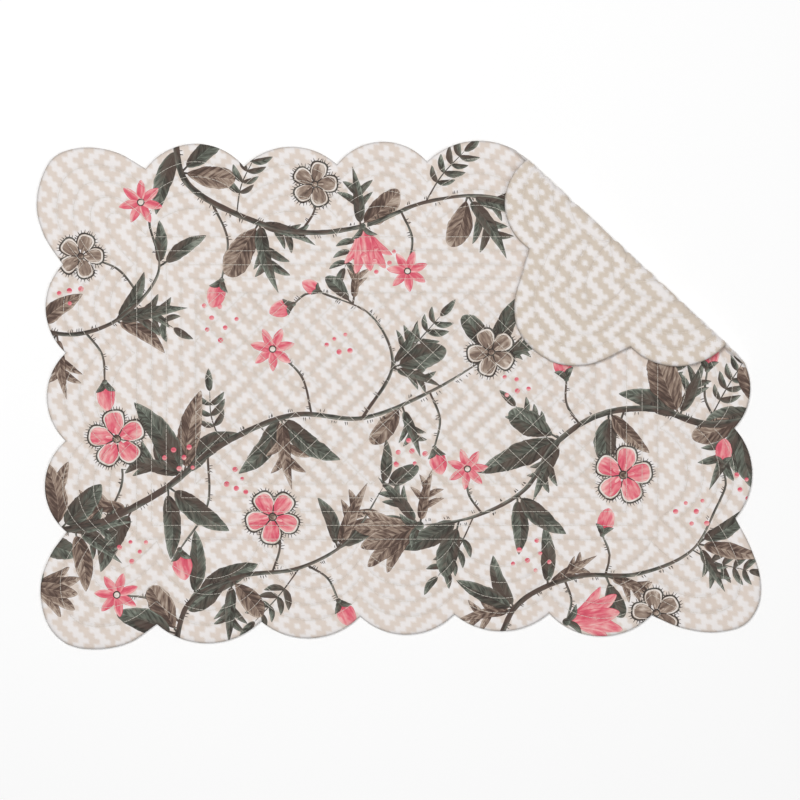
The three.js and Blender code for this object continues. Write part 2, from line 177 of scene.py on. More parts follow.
# The stage, in metres: the floor, the camera straight above, and the sky's and the lamps' light.
# A lamp has its name, its place, its width and its watts.
FLOOR_HALF = 3.0
FLOOR_GAP = 0.00005
LENS = 180.0
SENSOR = 36.0
VIEW_MIDDLE = (0.0008, -0.0034)
VIEW_WIDTH = 0.5344
SKY = 0.28
LAMPS = [("key", (-0.55, 0.6, 2.1), 0.9, 27.5), ("fill", (0.9, -0.5, 2.3), 1.5, 18.0)]


def srgb(red, green, blue):
    """The linear colour of an 8-bit screen colour: each channel c/255 to the power 2.2, nearly."""
    screen = np.array([red, green, blue]) / 255
    linear = np.where(screen <= 0.04045, screen / 12.92, ((screen + 0.055) / 1.055) ** 2.4)
    return tuple(float(c) for c in linear)


def smooth(t):
    """The smooth step 3t² - 2t³, with t held between 0 and 1."""
    t = np.clip(t, 0, 1)
    return t * t * (3 - 2 * t)


# The flat pattern

def arc_places(start, through, end, steps):
    """Places at even angles on the circle through three points, without the last one.

    The centre c solves |p - c| = r for all three points, and place k lies at the start's angle
    plus k/steps of the clockwise sweep.
    """
    a, b = through - start, end - start
    twice = 2 * (a[0] * b[1] - a[1] * b[0])
    centre = np.array([b[1] * (a @ a) - a[1] * (b @ b), a[0] * (b @ b) - b[0] * (a @ a)]) / twice
    first = math.atan2(-centre[1], -centre[0])
    last = math.atan2(*(b - centre)[::-1])
    sweep = last - first
    if sweep > 0:
        sweep -= TAU
    turn = first + sweep * np.arange(steps) / steps
    radius = np.hypot(*centre)
    return start + centre + radius * np.stack([np.cos(turn), np.sin(turn)], 1)


def smooth_path(points, samples=40):
    """A centripetal Catmull-Rom curve through the points, as a dense row of places.

    Between p1 and p2 it is the Hermite cubic whose end slopes are weighed by the square roots of
    the distances between neighbours; the ends carry on as straight lines.
    """
    p = np.asarray(points, float)
    p = np.vstack([2 * p[0] - p[1], p, 2 * p[-1] - p[-2]])
    gap = np.sqrt(np.hypot(*np.diff(p, axis=0).T))[:, None]
    p0, p1, p2, p3 = p[:-3], p[1:-2], p[2:-1], p[3:]
    d0, d1, d2 = gap[:-2], gap[1:-1], gap[2:]
    m1 = ((p1 - p0) / d0 - (p2 - p0) / (d0 + d1) + (p2 - p1) / d1) * d1
    m2 = ((p2 - p1) / d1 - (p3 - p1) / (d1 + d2) + (p3 - p2) / d2) * d1
    t = (np.arange(samples) / samples)[None, :, None]
    p1, p2, m1, m2 = (x[:, None, :] for x in (p1, p2, m1, m2))
    curve = (
        (2 * t**3 - 3 * t**2 + 1) * p1
        + (t**3 - 2 * t**2 + t) * m1
        + (3 * t**2 - 2 * t**3) * p2
        + (t**3 - t**2) * m2
    )
    return np.vstack([curve.reshape(-1, 2), p[-2]])


def run_of(path, closed=False):
    """How far along its path each place lies: the running sum of the distances between places."""
    if closed:
        path = np.vstack([path, path[:1]])
    return np.concatenate([[0], np.cumsum(np.hypot(*np.diff(path, axis=0).T))])


def place_at(path, run, far):
    """The place, or places, so far along a path with the running sum run."""
    return np.stack([np.interp(far, run, path[:, k]) for k in (0, 1)], -1)


def even_places(path, steps):
    """Places at even distances along a path, without the last one."""
    run = run_of(path)
    return place_at(path, run, run[-1] * np.arange(steps) / steps)


def tongue_places(start, end, back_from, back_to, steps):
    """The innermost echo seam round a corner: the cubic Bezier curve whose two inner points pull
    back from the tips, away from the middle of the mat."""
    pull_start = start - PULL_BACK * back_from - PULL_ASIDE * back_to
    pull_end = end - PULL_BACK * back_to - PULL_ASIDE * back_from
    t = (np.arange(steps) / steps)[:, None]
    return (
        (1 - t) ** 3 * start
        + 3 * (1 - t) ** 2 * t * pull_start
        + 3 * (1 - t) * t**2 * pull_end
        + t**3 * end
    )


def frame_rectangle(share):
    """The frame seam at a share from 0, the outermost, to 1, the innermost, as four side values."""
    return {s: FRAME_OUTER[s] + (FRAME_INNER[s] - FRAME_OUTER[s]) * share for s in SIDES}


FIELD = frame_rectangle(1)
FIELD_WIDTH = FIELD["right"] - FIELD["left"]
FIELD_DEPTH = FIELD["top"] - FIELD["bottom"]


def to_field_rim(places):
    """The distance from a place in the middle field to the seam that frames it."""
    x, y = places[..., 0], places[..., 1]
    return np.minimum.reduce(
        [x - FIELD["left"], FIELD["right"] - x, FIELD["top"] - y, y - FIELD["bottom"]]
    )


def on_frame(share, position):
    """The place on a frame seam at a position from 0 to 4, clockwise from its top left corner.

    Along side k the place runs evenly from one corner to the next, so x or y is a clipped ramp.
    """
    rect = frame_rectangle(share)
    position = np.mod(position, 4)
    ramp_x = np.clip(position, 0, 1) - np.clip(position - 2, 0, 1)
    ramp_y = np.clip(position - 1, 0, 1) - np.clip(position - 3, 0, 1)
    x = rect["left"] + (rect["right"] - rect["left"]) * ramp_x
    y = rect["top"] + (rect["bottom"] - rect["top"]) * ramp_y
    return np.stack([x, y], -1)


def tip_inside(side, valley):
    """The innermost echo seam's tip inside a valley, just short of the outermost frame seam."""
    outward = -np.array(INWARD[side], float)
    tip = np.array(valley, float)
    tip[0 if side in ("left", "right") else 1] = FRAME_OUTER[side]
    return tip + outward * TIP_SHORT_OF_FRAME


def frame_position(side, place):
    """How far round the outermost frame seam, from 0 to 4, a place beside the given side stands."""
    left, right = FRAME_OUTER["left"], FRAME_OUTER["right"]
    top, bottom = FRAME_OUTER["top"], FRAME_OUTER["bottom"]
    x, y = np.asarray(place, float).T
    part = {
        "top": (x - left) / (right - left),
        "right": (top - y) / (top - bottom),
        "bottom": (right - x) / (right - left),
        "left": (y - bottom) / (top - bottom),
    }
    return SIDES.index(side) + part[side]


def draft_pattern():
    """The outline, the innermost echo seam and the positions round the frame, as matching rows.

    They start at the middle of the top left corner lobe, which faces the frame's first corner.
    """
    outline, inner, positions = [], [], []
    for index, (side, valley, through) in enumerate(LOBES):
        next_side, next_valley, _ = LOBES[(index + 1) % len(LOBES)]
        start, end = np.array(valley, float), np.array(next_valley, float)
        tips = tip_inside(side, valley), tip_inside(next_side, next_valley)
        if len(through) > 1:
            steps = CORNER_STEPS
            corner = SIDES.index(side) + 1
            last = frame_position(next_side, end) + (4 if next_side == "top" else 0)
            outline.append(even_places(smooth_path([start, *through, end]), steps))
            back = np.array(INWARD[side], float), np.array(INWARD[next_side], float)
            inner.append(tongue_places(*tips, *back, steps))
            ramp = [frame_position(side, start), corner, last]
            positions.append(np.interp(np.arange(steps), [0, steps / 2, steps], ramp))
            continue
        steps = LONG_SIDE_STEPS if side in ("top", "bottom") else SHORT_SIDE_STEPS
        through = np.array(through[0], float)
        crest = through + ECHO_SEAMS[-1] * np.array(INWARD[side])
        outline.append(arc_places(start, through, end, steps))
        inner.append(arc_places(tips[0], crest, tips[1], steps))
        positions.append(frame_position(side, inner[-1]))
    turn = -CORNER_STEPS // 2
    rows = (np.roll(np.concatenate(r), turn, axis=0) for r in (outline, inner, positions))
    outline, inner, positions = rows
    return outline, inner, np.mod(positions + SLACK, len(SIDES))


OUTLINE, INNERMOST, POSITIONS = draft_pattern()
LATTICE = np.concatenate(
    [side + np.arange(FIELD_STEPS[side % 2]) / FIELD_STEPS[side % 2] for side in range(4)]
)
INSETS = (0, *ECHO_SEAMS)


def ring(seam):
    """The closed row at a seam coordinate: 0 is the outline, 1 to 4 the echo seams, 5 to 9 the
    frame seams, and a fraction lies between two of them.

    Echo rows blend the outline with the innermost echo seam by their inset, and frame rows slide
    along the frame from the lobes' own positions to the even ones of the middle field.
    """
    if seam <= INNERMOST_ECHO:
        share = np.interp(seam, range(len(INSETS)), INSETS) / ECHO_SEAMS[-1]
        return OUTLINE + (INNERMOST - OUTLINE) * share
    if seam <= FRAME_FIRST:
        return INNERMOST + (on_frame(0, POSITIONS) - INNERMOST) * (seam - INNERMOST_ECHO)
    share = (seam - FRAME_FIRST) / (FRAME_LAST - FRAME_FIRST)
    slid = POSITIONS + (LATTICE - POSITIONS) * smooth(share)
    return on_frame(share, slid)


def band_width(seam):
    """The distance between the two seams on either side of a row, at each place of it."""
    below = min(int(seam), FRAME_LAST - 1)
    return np.hypot(*(ring(below + 1) - ring(below)).T)


def uneven(places):
    """A slow swell between about 0.75 and 1.25: two crossed sine waves and a slanting one."""
    x, y = places[..., 0], places[..., 1]
    crossed = np.sin(x / 21 + 1.3) * np.sin(y / 16 + 0.4)
    slanting = np.sin(x / 8.7 + y / 12.9) * 0.6
    return 1 + 0.15 * (crossed + slanting)


def ring_rows(edge_rows, band_rows):
    """The seam coordinates of all rings inside the outline, seam by seam."""
    rows = list(edge_rows)
    for band in range(1, FRAME_LAST):
        rows += [band + part for part in band_rows]
    return rows


def ring_crest(seam, places):
    """How far a ring row rises between its seams, from 0 to about 1: |sin(pi s)| to the power
    0.6, less in narrow bands, and uneven from place to place."""
    rise = abs(math.sin(math.pi * seam)) ** 0.6
    return rise * np.minimum(1, band_width(seam) / FULL_PUFF_WIDTH) * uneven(places)


def field_grid():
    """The middle field's grid of places, one row for each step down and a place for each across."""
    across = np.linspace(FIELD["left"], FIELD["right"], FIELD_STEPS[0] + 1)
    down = np.linspace(FIELD["top"], FIELD["bottom"], FIELD_STEPS[1] + 1)
    return np.stack(np.meshgrid(across, down), -1)


def diamond_parts(places):
    """Where a place lies between the slanting seams, as two parts of a diamond from 0 to 1.

    With a columns and b rows from the field's corner, the seams are where a + b or a - b is whole.
    """
    a = (places[..., 0] - FIELD["left"]) / FIELD_WIDTH * DIAMONDS[0]
    b = (FIELD["top"] - places[..., 1]) / FIELD_DEPTH * DIAMONDS[1]
    return np.mod(a + b + SLACK, 1), np.mod(a - b + SLACK, 1)


def field_crest(places):
    """How far the middle field rises: the square root of sin(pi p) sin(pi q) inside a diamond,
    brought down to the seam that frames the field."""
    p, q = diamond_parts(places)
    rise = np.sqrt(np.abs(np.sin(math.pi * p) * np.sin(math.pi * q)))
    return rise * np.sqrt(np.clip(to_field_rim(places) / FIELD_RIM_RUN, 0, 1)) * uneven(places)


def field_to_seam(places):
    """The distance to the nearest seam in the middle field, in millimetres."""
    across, down = FIELD_WIDTH / DIAMONDS[0], FIELD_DEPTH / DIAMONDS[1]
    height = across * down / math.hypot(across, down)
    p, q = diamond_parts(places)
    slanting = np.minimum.reduce([p, 1 - p, q, 1 - q]) * height
    return np.minimum(slanting, to_field_rim(places))


def past_fold(places):
    """How far past the fold's start a place lies, as a smooth share of the puff's run."""
    return smooth((places @ ACROSS - BEND_START) / PUFF_RUN)


def bend_ripple(places, crest):
    """How far the bend's outside swells between seams, in parts of the corner's puff.

    A bell over the bend's middle, which reaches about 6 mm to both sides, times the sum of the
    crest and of two sine waves along the fold, 9.5 and 5.4 mm long.
    """
    along, past = places @ ALONG, places @ ACROSS - BEND_START - BEND_LENGTH / 2
    waves = np.sin(along * 0.66) + 0.6 * np.sin(along * 1.17 + 1)
    return np.exp(-((past / 6) ** 2)) * (crest - 0.35 + 0.6 * waves)


def rim_inset(seam):
    """How far inside the outline a row lies, in millimetres, up to the first echo seam's inset."""
    return ECHO_SEAMS[0] * min(seam, 1)


def rim_share(inset):
    """How far the rounded rim has risen at an inset: a quarter circle over the rim's own run."""
    return np.sqrt(np.clip(1 - (1 - np.clip(inset / RIM_ROUND, 0, 1)) ** 2, 0, 1))


class Sheet:
    """A cloth in the making: places with heights and the ways to seam and rim, and the faces that
    join them."""

    def __init__(self):
        self.places, self.heights, self.to_seam, self.to_rim = [], [], [], []
        self.faces, self.shows = [], []
        self.count = 0

    def add(self, places, heights, to_seam, to_rim):
        """Adds a row of places and gives back their numbers."""
        flat = np.asarray(places, float).reshape(-1, 2)
        self.places.append(flat)
        self.heights.append(np.broadcast_to(heights, len(flat)).astype(float))
        self.to_seam.append(np.broadcast_to(to_seam, len(flat)).astype(float))
        self.to_rim.append(np.full(len(flat), float(to_rim)))
        self.count += len(flat)
        return np.arange(self.count - len(flat), self.count)

    def join(self, corners, up, shows):
        """Adds one face for each row of corners, which run clockwise seen from above."""
        self.faces += (corners[:, ::-1] if up else corners).tolist()
        self.shows += [shows] * len(corners)

    def band(self, outer, inner, up, shows):
        """Joins two closed rows of equal length by four-sided faces."""
        corners = np.stack([outer, np.roll(outer, -1), np.roll(inner, -1), inner], 1)
        self.join(corners, up, shows)

    def field(self, numbers, up, shows):
        """Fills a grid of numbers with triangles whose long sides follow the slanting seams."""
        a, b = numbers[:-1, :-1].ravel(), numbers[:-1, 1:].ravel()
        c, d = numbers[1:, 1:].ravel(), numbers[1:, :-1].ravel()
        rows, columns = np.indices((numbers.shape[0] - 1, numbers.shape[1] - 1))
        steps = FIELD_STEPS[0] // DIAMONDS[0]
        rising = (np.mod(rows + columns + 1, steps) == 0).ravel()
        first = np.where(rising[:, None], np.stack([a, b, d], 1), np.stack([a, b, c], 1))
        second = np.where(rising[:, None], np.stack([b, c, d], 1), np.stack([a, c, d], 1))
        self.join(first, up, shows)
        self.join(second, up, shows)

    def side(self, rim, rows, height_of_ring, height_of_field, up, shows):
        """One side of the cloth, from the rim to the middle, at the heights that two functions
        give for each row and for the middle field."""
        outer = rim
        for seam in rows:
            places = ring(seam)
            near = abs(seam - round(seam)) * band_width(seam)
            inner = self.add(places, height_of_ring(seam, places), near, rim_inset(seam))
            self.band(outer, inner, up, shows)
            outer = inner
        grid = field_grid()
        numbers = np.full(grid.shape[:2], -1)
        across, down = FIELD_STEPS
        numbers[0, :-1] = outer[:across]
        numbers[:-1, -1] = outer[across : across + down]
        numbers[-1, :0:-1] = outer[across + down : 2 * across + down]
        numbers[:0:-1, 0] = outer[2 * across + down :]
        inside = grid[1:-1, 1:-1]
        fresh = self.add(inside, height_of_field(inside).ravel(), field_to_seam(inside).ravel(),
                         rim_inset(FRAME_LAST))
        numbers[1:-1, 1:-1] = fresh.reshape(inside.shape[:2])
        self.field(numbers, up, shows)


def height_field(outer, sizes):
    """The height functions of a cloth's outer surface: (for a ring row, for the middle field)."""
    seam_height = FACE_UNDERSIDE + sizes.seam_thickness * METRE
    rise = sizes.crest_rise * METRE
    dent = sizes.back_dent * METRE
    puff = sizes.flap_puff * METRE

    def face_ring(seam, places):
        base = FACE_RIM + (seam_height - FACE_RIM) * rim_share(rim_inset(seam))
        return base + rise * ring_crest(seam, places)

    def face_field(places):
        return seam_height + rise * field_crest(places)

    def back_ring(seam, places):
        crest = np.minimum(1, ring_crest(seam, places))
        lying = dent * (1 - crest)
        out = puff * (crest * past_fold(places) + bend_ripple(places, crest))
        return BACK_RIM + (lying - out - BACK_RIM) * rim_share(rim_inset(seam))

    def back_field(places):
        return dent * (1 - np.minimum(1, field_crest(places)))

    return (face_ring, face_field) if outer == "face" else (back_ring, back_field)


def fold(places, heights):
    """Where flat places come to lie, with the corner folded over, in millimetres.

    With p the distance past the bend's start, the bend turns a place by p over the neutral
    radius, half a turn at most; what is longer than the bend runs back over the front and
    settles by a smooth step.
    """
    along, past = places @ ALONG, places @ ACROSS - BEND_START
    radius = BEND_AXIS - heights
    turn = np.clip(past / NEUTRAL_RADIUS, 0, math.pi)
    back = np.maximum(0, past - BEND_LENGTH)
    out = BEND_START + radius * np.sin(turn) - back
    up = BEND_AXIS - radius * np.cos(turn) - FLAP_DROP * smooth(back / FLAP_DROP_RUN)
    lies = past <= 0
    out = np.where(lies, past + BEND_START, out)
    up = np.maximum(np.where(lies, heights, up), 0)
    flat = along[:, None] * ALONG + out[:, None] * ACROSS + SHIFT
    return np.column_stack([flat, up])


def cut_for_fold(mesh):
    """Divides the flat cloth along evenly spaced lines, so that the bend comes out round."""
    bm = bmesh.new()
    bm.from_mesh(mesh)
    across = Vector((*ACROSS, 0))
    first, last = BEND_START - BEND_MARGIN, BEND_START + BEND_LENGTH + BEND_MARGIN
    near = [f for f in bm.faces if first < f.calc_center_median().dot(across) < last]
    geometry = list({part for face in near for part in (face, *face.verts, *face.edges)})
    for cut in range(BEND_CUTS + 1):
        reach = across * (BEND_START + BEND_LENGTH * cut / BEND_CUTS)
        done = bmesh.ops.bisect_plane(
            bm, geom=geometry, dist=0.01, plane_co=reach, plane_no=across
        )
        geometry = done["geom"]
    bmesh.ops.triangulate(bm, faces=[f for f in bm.faces if len(f.verts) > 4])
    bm.to_mesh(mesh)
    bm.free()


def read_all(items, key, kind=float, width=1):
    """One property of all vertices, corners or faces of a mesh, as one array."""
    values = np.empty(len(items) * width, kind)
    items.foreach_get(key, values)
    return values


def place_object(name, data):
    """A new object in the scene, at the origin."""
    made = bpy.data.objects.new(name, data)
    bpy.context.scene.collection.objects.link(made)
    return made


# The print: boughs, leaves, blossoms, buds and berries on the face

INKS = GREEN, BROWN, PINK, TAUPE, DARK, BUFF, BARK = range(7)
LAYERS = 10
LEAST_WOBBLE = 0.8
COVER_SLACK = 0.1

# Each ink's outline, its dark and light brush strokes, and its pale rim, as screen colours
TONES = [
    [(58, 49, 45), (76, 76, 69), (107, 112, 102), (150, 154, 143)],
    [(70, 56, 50), (98, 80, 72), (150, 130, 116), (194, 178, 164)],
    [(204, 78, 98), (222, 100, 118), (232, 148, 152), (240, 192, 188)],
    [(84, 70, 63), (126, 107, 96), (160, 141, 127), (212, 198, 186)],
    [(56, 47, 44), (66, 58, 54), (80, 76, 70), (94, 94, 88)],
    [(150, 132, 118), (210, 196, 184), (228, 218, 210), (237, 230, 224)],
    [(56, 46, 42), (70, 68, 62), (103, 104, 96), (152, 149, 138)],
]

# Boughs: their half width at the start, and the places they pass through
BOUGHS = [
    (2.4, [(-250, -92), (-206, -88), (-160, -66), (-118, -34), (-70, -14), (-24, -16), (22, 2),
           (62, 26)]),
    (2.1, [(-150, 176), (-142, 142), (-108, 120), (-66, 108), (-24, 112), (18, 128), (60, 132),
           (96, 120)]),
    (2.4, [(250, -14), (206, -20), (170, -10), (134, -14), (104, -34), (84, -64), (50, -82),
           (14, -88)]),
    (1.9, [(64, -172), (80, -140), (118, -122), (160, -120), (196, -104), (214, -72)]),
    (1.8, [(-150, -176), (-140, -140), (-106, -122), (-66, -116), (-34, -98), (-10, -62)]),
    (1.6, [(-250, 44), (-214, 40), (-184, 52), (-160, 82), (-166, 112)]),
    (1.2, [(-24, -16), (-4, 20), (-18, 52), (-52, 68)]),
]

# Thin twigs: where one leaves its bough, as a share of the bough's length, and where it ends
TWIGS = [
    (0, 0.16, -188, -30), (0, 0.4, -146, -104), (0, 0.62, -84, 30), (0, 0.86, 24, -36),
    (1, 0.2, -118, 76), (1, 0.42, -56, 140), (1, 0.66, 6, 84), (1, 1.0, 92, 92),
    (2, 0.14, 206, 16), (2, 0.38, 150, -54), (2, 0.5, 112, 10), (2, 0.84, 46, -50),
    (3, 0.36, 112, -152), (3, 0.55, 170, -146), (3, 0.5, 136, -94), (3, 1.0, 216, -48),
    (4, 0.12, -186, -134), (4, 0.5, -84, -82), (4, 0.62, -40, -138), (5, 0.3, -196, 8),
    (5, 0.62, -212, 92), (5, 1.0, -172, 126), (6, 1.0, -70, 60),
]

# Blossoms: the middle, the radius, the number of petals, and the ink; five petals have a hairy rim
BLOSSOMS = [
    (-188, -30, 19, 5, PINK), (-84, 30, 15, 7, PINK), (62, 28, 16, 5, TAUPE),
    (-172, 128, 15, 7, PINK), (-56, 140, 15, 5, TAUPE), (6, 82, 14, 7, PINK),
    (150, -54, 19, 5, PINK), (46, -50, 14, 7, PINK), (172, -146, 16, 5, TAUPE),
    (-84, -82, 18, 5, PINK), (-188, -134, 15, 7, PINK), (-212, 92, 15, 5, TAUPE),
]

# Buds: the base, the way it points in degrees, and the length
BUDS = [
    (-146, -104, -80, 19), (24, -36, -75, 17), (-118, 76, -110, 18), (206, 16, 80, 18),
    (112, 10, 105, 18), (136, -94, 75, 17), (216, -48, 85, 17), (-40, -138, -60, 18),
    (-196, 8, -85, 18), (-70, 60, -160, 16), (92, 92, -70, 18), (-52, 68, 150, 13),
]

# Half-open lilies: the base, the way it points in degrees, the length, and the ink
LILIES = [
    (14, -88, -160, 44, BROWN), (112, -152, 10, 38, PINK), (-246, -128, -10, 34, BROWN),
    (-24, 112, -80, 32, PINK),
]

# Whorls of leaves: the bough, the share of its length, the way they point in degrees, how many
# leaves, the angle between them in degrees, and the length of the longest
WHORLS = [
    (0, 0.0, 20, 2, 78, 54), (0, 0.22, -150, 2, 65, 48), (1, 0.04, -150, 2, 78, 50),
    (2, 0.02, 150, 2, 65, 46), (2, 0.9, -130, 2, 57, 44),
    (3, 0.3, 60, 2, 65, 40), (4, 0.22, 60, 2, 60, 46), (5, 0.04, 70, 2, 65, 44),
    (0, 0.07, 52, 3, 48, 50), (0, 0.1, -58, 2, 52, 40), (0, 0.34, 100, 4, 42, 58),
    (0, 0.3, -62, 2, 47, 46), (0, 0.56, -80, 3, 45, 52), (0, 0.8, -100, 2, 57, 40),
    (0, 1.0, 66, 3, 56, 38), (1, 0.1, 20, 2, 47, 44), (1, 0.32, -72, 3, 48, 50),
    (1, 0.56, 70, 2, 49, 42), (1, 0.82, -60, 3, 48, 44), (2, 0.08, -118, 3, 45, 50),
    (2, 0.24, 112, 3, 48, 50), (2, 0.42, -70, 2, 44, 42), (2, 0.56, -160, 3, 45, 54),
    (2, 0.74, -62, 2, 49, 44), (2, 1.0, 130, 3, 50, 40), (3, 0.16, 150, 3, 42, 46),
    (3, 0.5, -50, 2, 44, 36), (3, 0.84, -10, 3, 50, 42), (4, 0.08, 160, 3, 42, 44),
    (4, 0.36, -95, 3, 48, 44), (4, 0.74, 70, 3, 45, 44), (4, 1.0, 60, 2, 52, 34),
    (5, 0.16, -120, 3, 42, 46), (5, 0.46, 10, 3, 48, 44), (5, 0.8, 60, 2, 52, 34),
    (6, 0.34, 20, 3, 45, 40), (6, 0.8, 110, 2, 52, 30),
]

# Sprigs of small leaves in pairs: where it starts and ends
SPRIGS = [
    (-108, 120, -96, 158), (18, 128, 44, 162), (170, -10, 192, 44), (206, -20, 232, 24),
    (-66, -116, -96, -152), (50, -82, 26, -122), (-184, 52, -150, 44), (-24, 112, -36, 84),
    (196, -104, 234, -118), (104, -34, 78, -8), (-118, -34, -126, 2), (-4, 20, 28, 52),
]

# Berries scattered round a place: its middle, how far they stray, and how many
BERRIES = [(-120, 50, 15, 7), (-12, 90, 12, 6), (88, -108, 14, 7), (196, -78, 13, 6),
           (-146, -42, 12, 6), (-176, -104, 11, 5), (78, 4, 11, 5), (-218, 66, 9, 4),
           (6, -40, 12, 6), (-40, 34, 10, 5), (232, -60, 10, 5), (-108, -60, 10, 5)]
PRINT_SEED = 11
GOLDEN_ANGLE = 2.4

# Hairs on stems stand in twos and threes; those round a blossom's rim lean out by an angle
HAIR_LENGTH = 2.4
HAIR_HALF = 0.36
HAIR_PITCH = 1.5
HAIR_GAP = 10.5
RIM_HAIR_LENGTH = 3.2
RIM_HAIR_PITCH = 1.6
RIM_HAIR_LEAN = 1.35
TWIG_HALF = 0.85
SPRIG_HALF = 0.55
SPRIG_PITCH = 7.5

# The round petals' two powers, and the drawing of deeply cut leaves and of lilies. A lobe has its
# share of the midline, its side and its reach, and a lily's petal its lean, reach and half width.
ROUND_PETAL = (0.8, 0.36)
CUT_LOBES = ((0.56, 1, 0.36), (0.47, -1, 0.4), (0.34, 1, 0.42), (0.24, -1, 0.44))
LILY_PETALS = ((-0.62, 0.86, 0.1), (0.62, 0.86, 0.1), (-0.32, 1, 0.13), (0.32, 1, 0.13),
               (0, 0.95, 0.15))


def turned(places, angle):
    """Places turned about the origin by an angle in radians."""
    c, s = math.cos(angle), math.sin(angle)
    return places @ np.array([[c, s], [-s, c]])


def toward(angle, away=1.0):
    """The place at a distance from the origin, by an angle in radians."""
    return np.array([math.cos(angle), math.sin(angle)]) * away


def way_of(step):
    """The angle in radians of a step from one place to another."""
    return math.atan2(step[1], step[0])


def blade_half(part, half, base, tip):
    """Half the width of a printed shape at a part u of its length: half times u^base (1-u)^tip."""
    part = np.clip(part, 0, 1)
    return half * part**base * (1 - part) ** tip


def blade_scale(base, tip):
    """The largest value of u^base (1-u)^tip, which it has where u is base over base plus tip."""
    widest = base / (base + tip)
    return widest**base * (1 - widest) ** tip


class Print:
    """The printed motifs, as values on the corners of the cloth's faces.

    Leaves, petals, stems, berries and hairs are all blades: a length, a half width, two powers
    that say how blunt the base and the tip are, and an ink. A face holds a few blades, one over
    the other, and each corner holds its own place in each, so many millimetres along and across.
    The material turns these into ink, so that edges are sharp.
    """

    def __init__(self, mesh, flat, shows):
        starts = read_all(mesh.polygons, "loop_start", int)
        totals = read_all(mesh.polygons, "loop_total", int)
        corners = read_all(mesh.loops, "vertex_index", int)
        self.mesh = mesh
        self.table = starts[:, None] + np.minimum(np.arange(4), totals[:, None] - 1)
        self.places = flat[corners][self.table]
        self.centres = self.places.mean(1)
        self.radius = np.hypot(*(self.places - self.centres[:, None]).transpose(2, 0, 1)).max(1)
        self.radius[~shows] = -np.inf
        self.top = np.zeros(len(starts), int)
        self.place = np.zeros((LAYERS, len(corners), 3))
        self.look = np.zeros((LAYERS, len(corners), 3))
        self.ink = np.zeros((LAYERS, len(corners)))

    def lay(self, faces, local, length, half, base, tip, ink):
        """Lays a blade over the faces, given its own coordinates (along, across) at their corners.

        Where it covers a whole face, also after its edge is made to wobble, what lay there is
        forgotten, and where a face holds too many blades, the lowest one is.
        """
        half = half / blade_scale(base, tip)
        least = blade_half(local[..., 0] / length, half * LEAST_WOBBLE, base, tip)
        covered = faces[(least - np.abs(local[..., 1])).min(1) > COVER_SLACK]
        self.top[covered] = 0
        self.look[:, self.table[covered]] = 0
        full = faces[self.top[faces] == LAYERS]
        corners = self.table[full]
        for values in (self.place, self.look, self.ink):
            values[:-1, corners] = values[1:, corners]
        self.top[full] -= 1
        level, corners = self.top[faces][:, None], self.table[faces]
        self.place[level, corners] = np.concatenate(
            [local, np.full((*local.shape[:2], 1), length)], 2
        )
        self.look[level, corners] = (half, base, tip)
        self.ink[level, corners] = ink
        self.top[faces] += 1

    def blade(self, at, angle, length, half, ink, base=0.5, tip=0.85, bend=0.0):
        """A blade from its base at a place, pointing by an angle in radians.

        Its midline bends aside by 4 bend u (1 - u).
        """
        at = np.asarray(at, float)
        near = np.hypot(*(self.centres - at - toward(angle, length / 2)).T)
        faces = np.flatnonzero(near < length / 2 + half + self.radius)
        local = turned(self.places[faces] - at, -angle)
        part = np.clip(local[..., 0] / length, 0, 1)
        local[..., 1] -= 4 * bend * part * (1 - part)
        middle, slack = local.mean(1), self.radius[faces]
        touched = (np.abs(middle[:, 1]) < half + slack) & (middle[:, 0] > -slack)
        touched &= middle[:, 0] < length + slack
        self.lay(faces[touched], local[touched], length, half, base, tip, ink)

    def disc(self, at, radius, ink):
        """A round spot: a blade with both powers a half is an ellipse."""
        self.blade(np.asarray(at) - (radius, 0), 0, 2 * radius, radius, ink, 0.5, 0.5)

    def stem(self, path, half, ink, tip=0.25):
        """A bough or twig along a dense path, tapering to its end."""
        run = run_of(path)
        slopes = np.gradient(path, axis=0)
        slopes /= np.hypot(*slopes.T)[:, None]
        low, high = path.min(0) - half - 3, path.max(0) + half + 3
        faces = np.flatnonzero(
            (self.centres > low).all(1) & (self.centres < high).all(1) & (self.radius > 0)
        )

        def nearest(places):
            """Which of the path's places is nearest to each place, and how far away it is."""
            gaps = ((places[:, None, :] - path[None, :, :]) ** 2).sum(2)
            return gaps.argmin(1), np.sqrt(gaps.min(1))

        _, away = nearest(self.centres[faces])
        faces = faces[away < half + self.radius[faces] + 0.3]
        places = self.places[faces].reshape(-1, 2)
        index, _ = nearest(places)
        gap = places - path[index]
        across = gap[:, 1] * slopes[index, 0] - gap[:, 0] * slopes[index, 1]
        along = run[index] + (gap * slopes[index]).sum(1)
        local = np.stack([along, across], 1).reshape(len(faces), 4, 2)
        self.lay(faces, local, run[-1], half, 0.02, tip, ink)

    def store(self):
        """Puts every layer on the mesh as attributes of its corners."""
        kinds = (
            ("place", self.place, "FLOAT_VECTOR", "vector"),
            ("look", self.look, "FLOAT_VECTOR", "vector"),
            ("ink", self.ink, "FLOAT", "value"),
        )
        for level in range(LAYERS):
            for name, values, form, slot in kinds:
                made = self.mesh.attributes.new(f"print_{level}_{name}", form, "CORNER")
                made.data.foreach_set(slot, values[level].astype(np.float32).ravel())


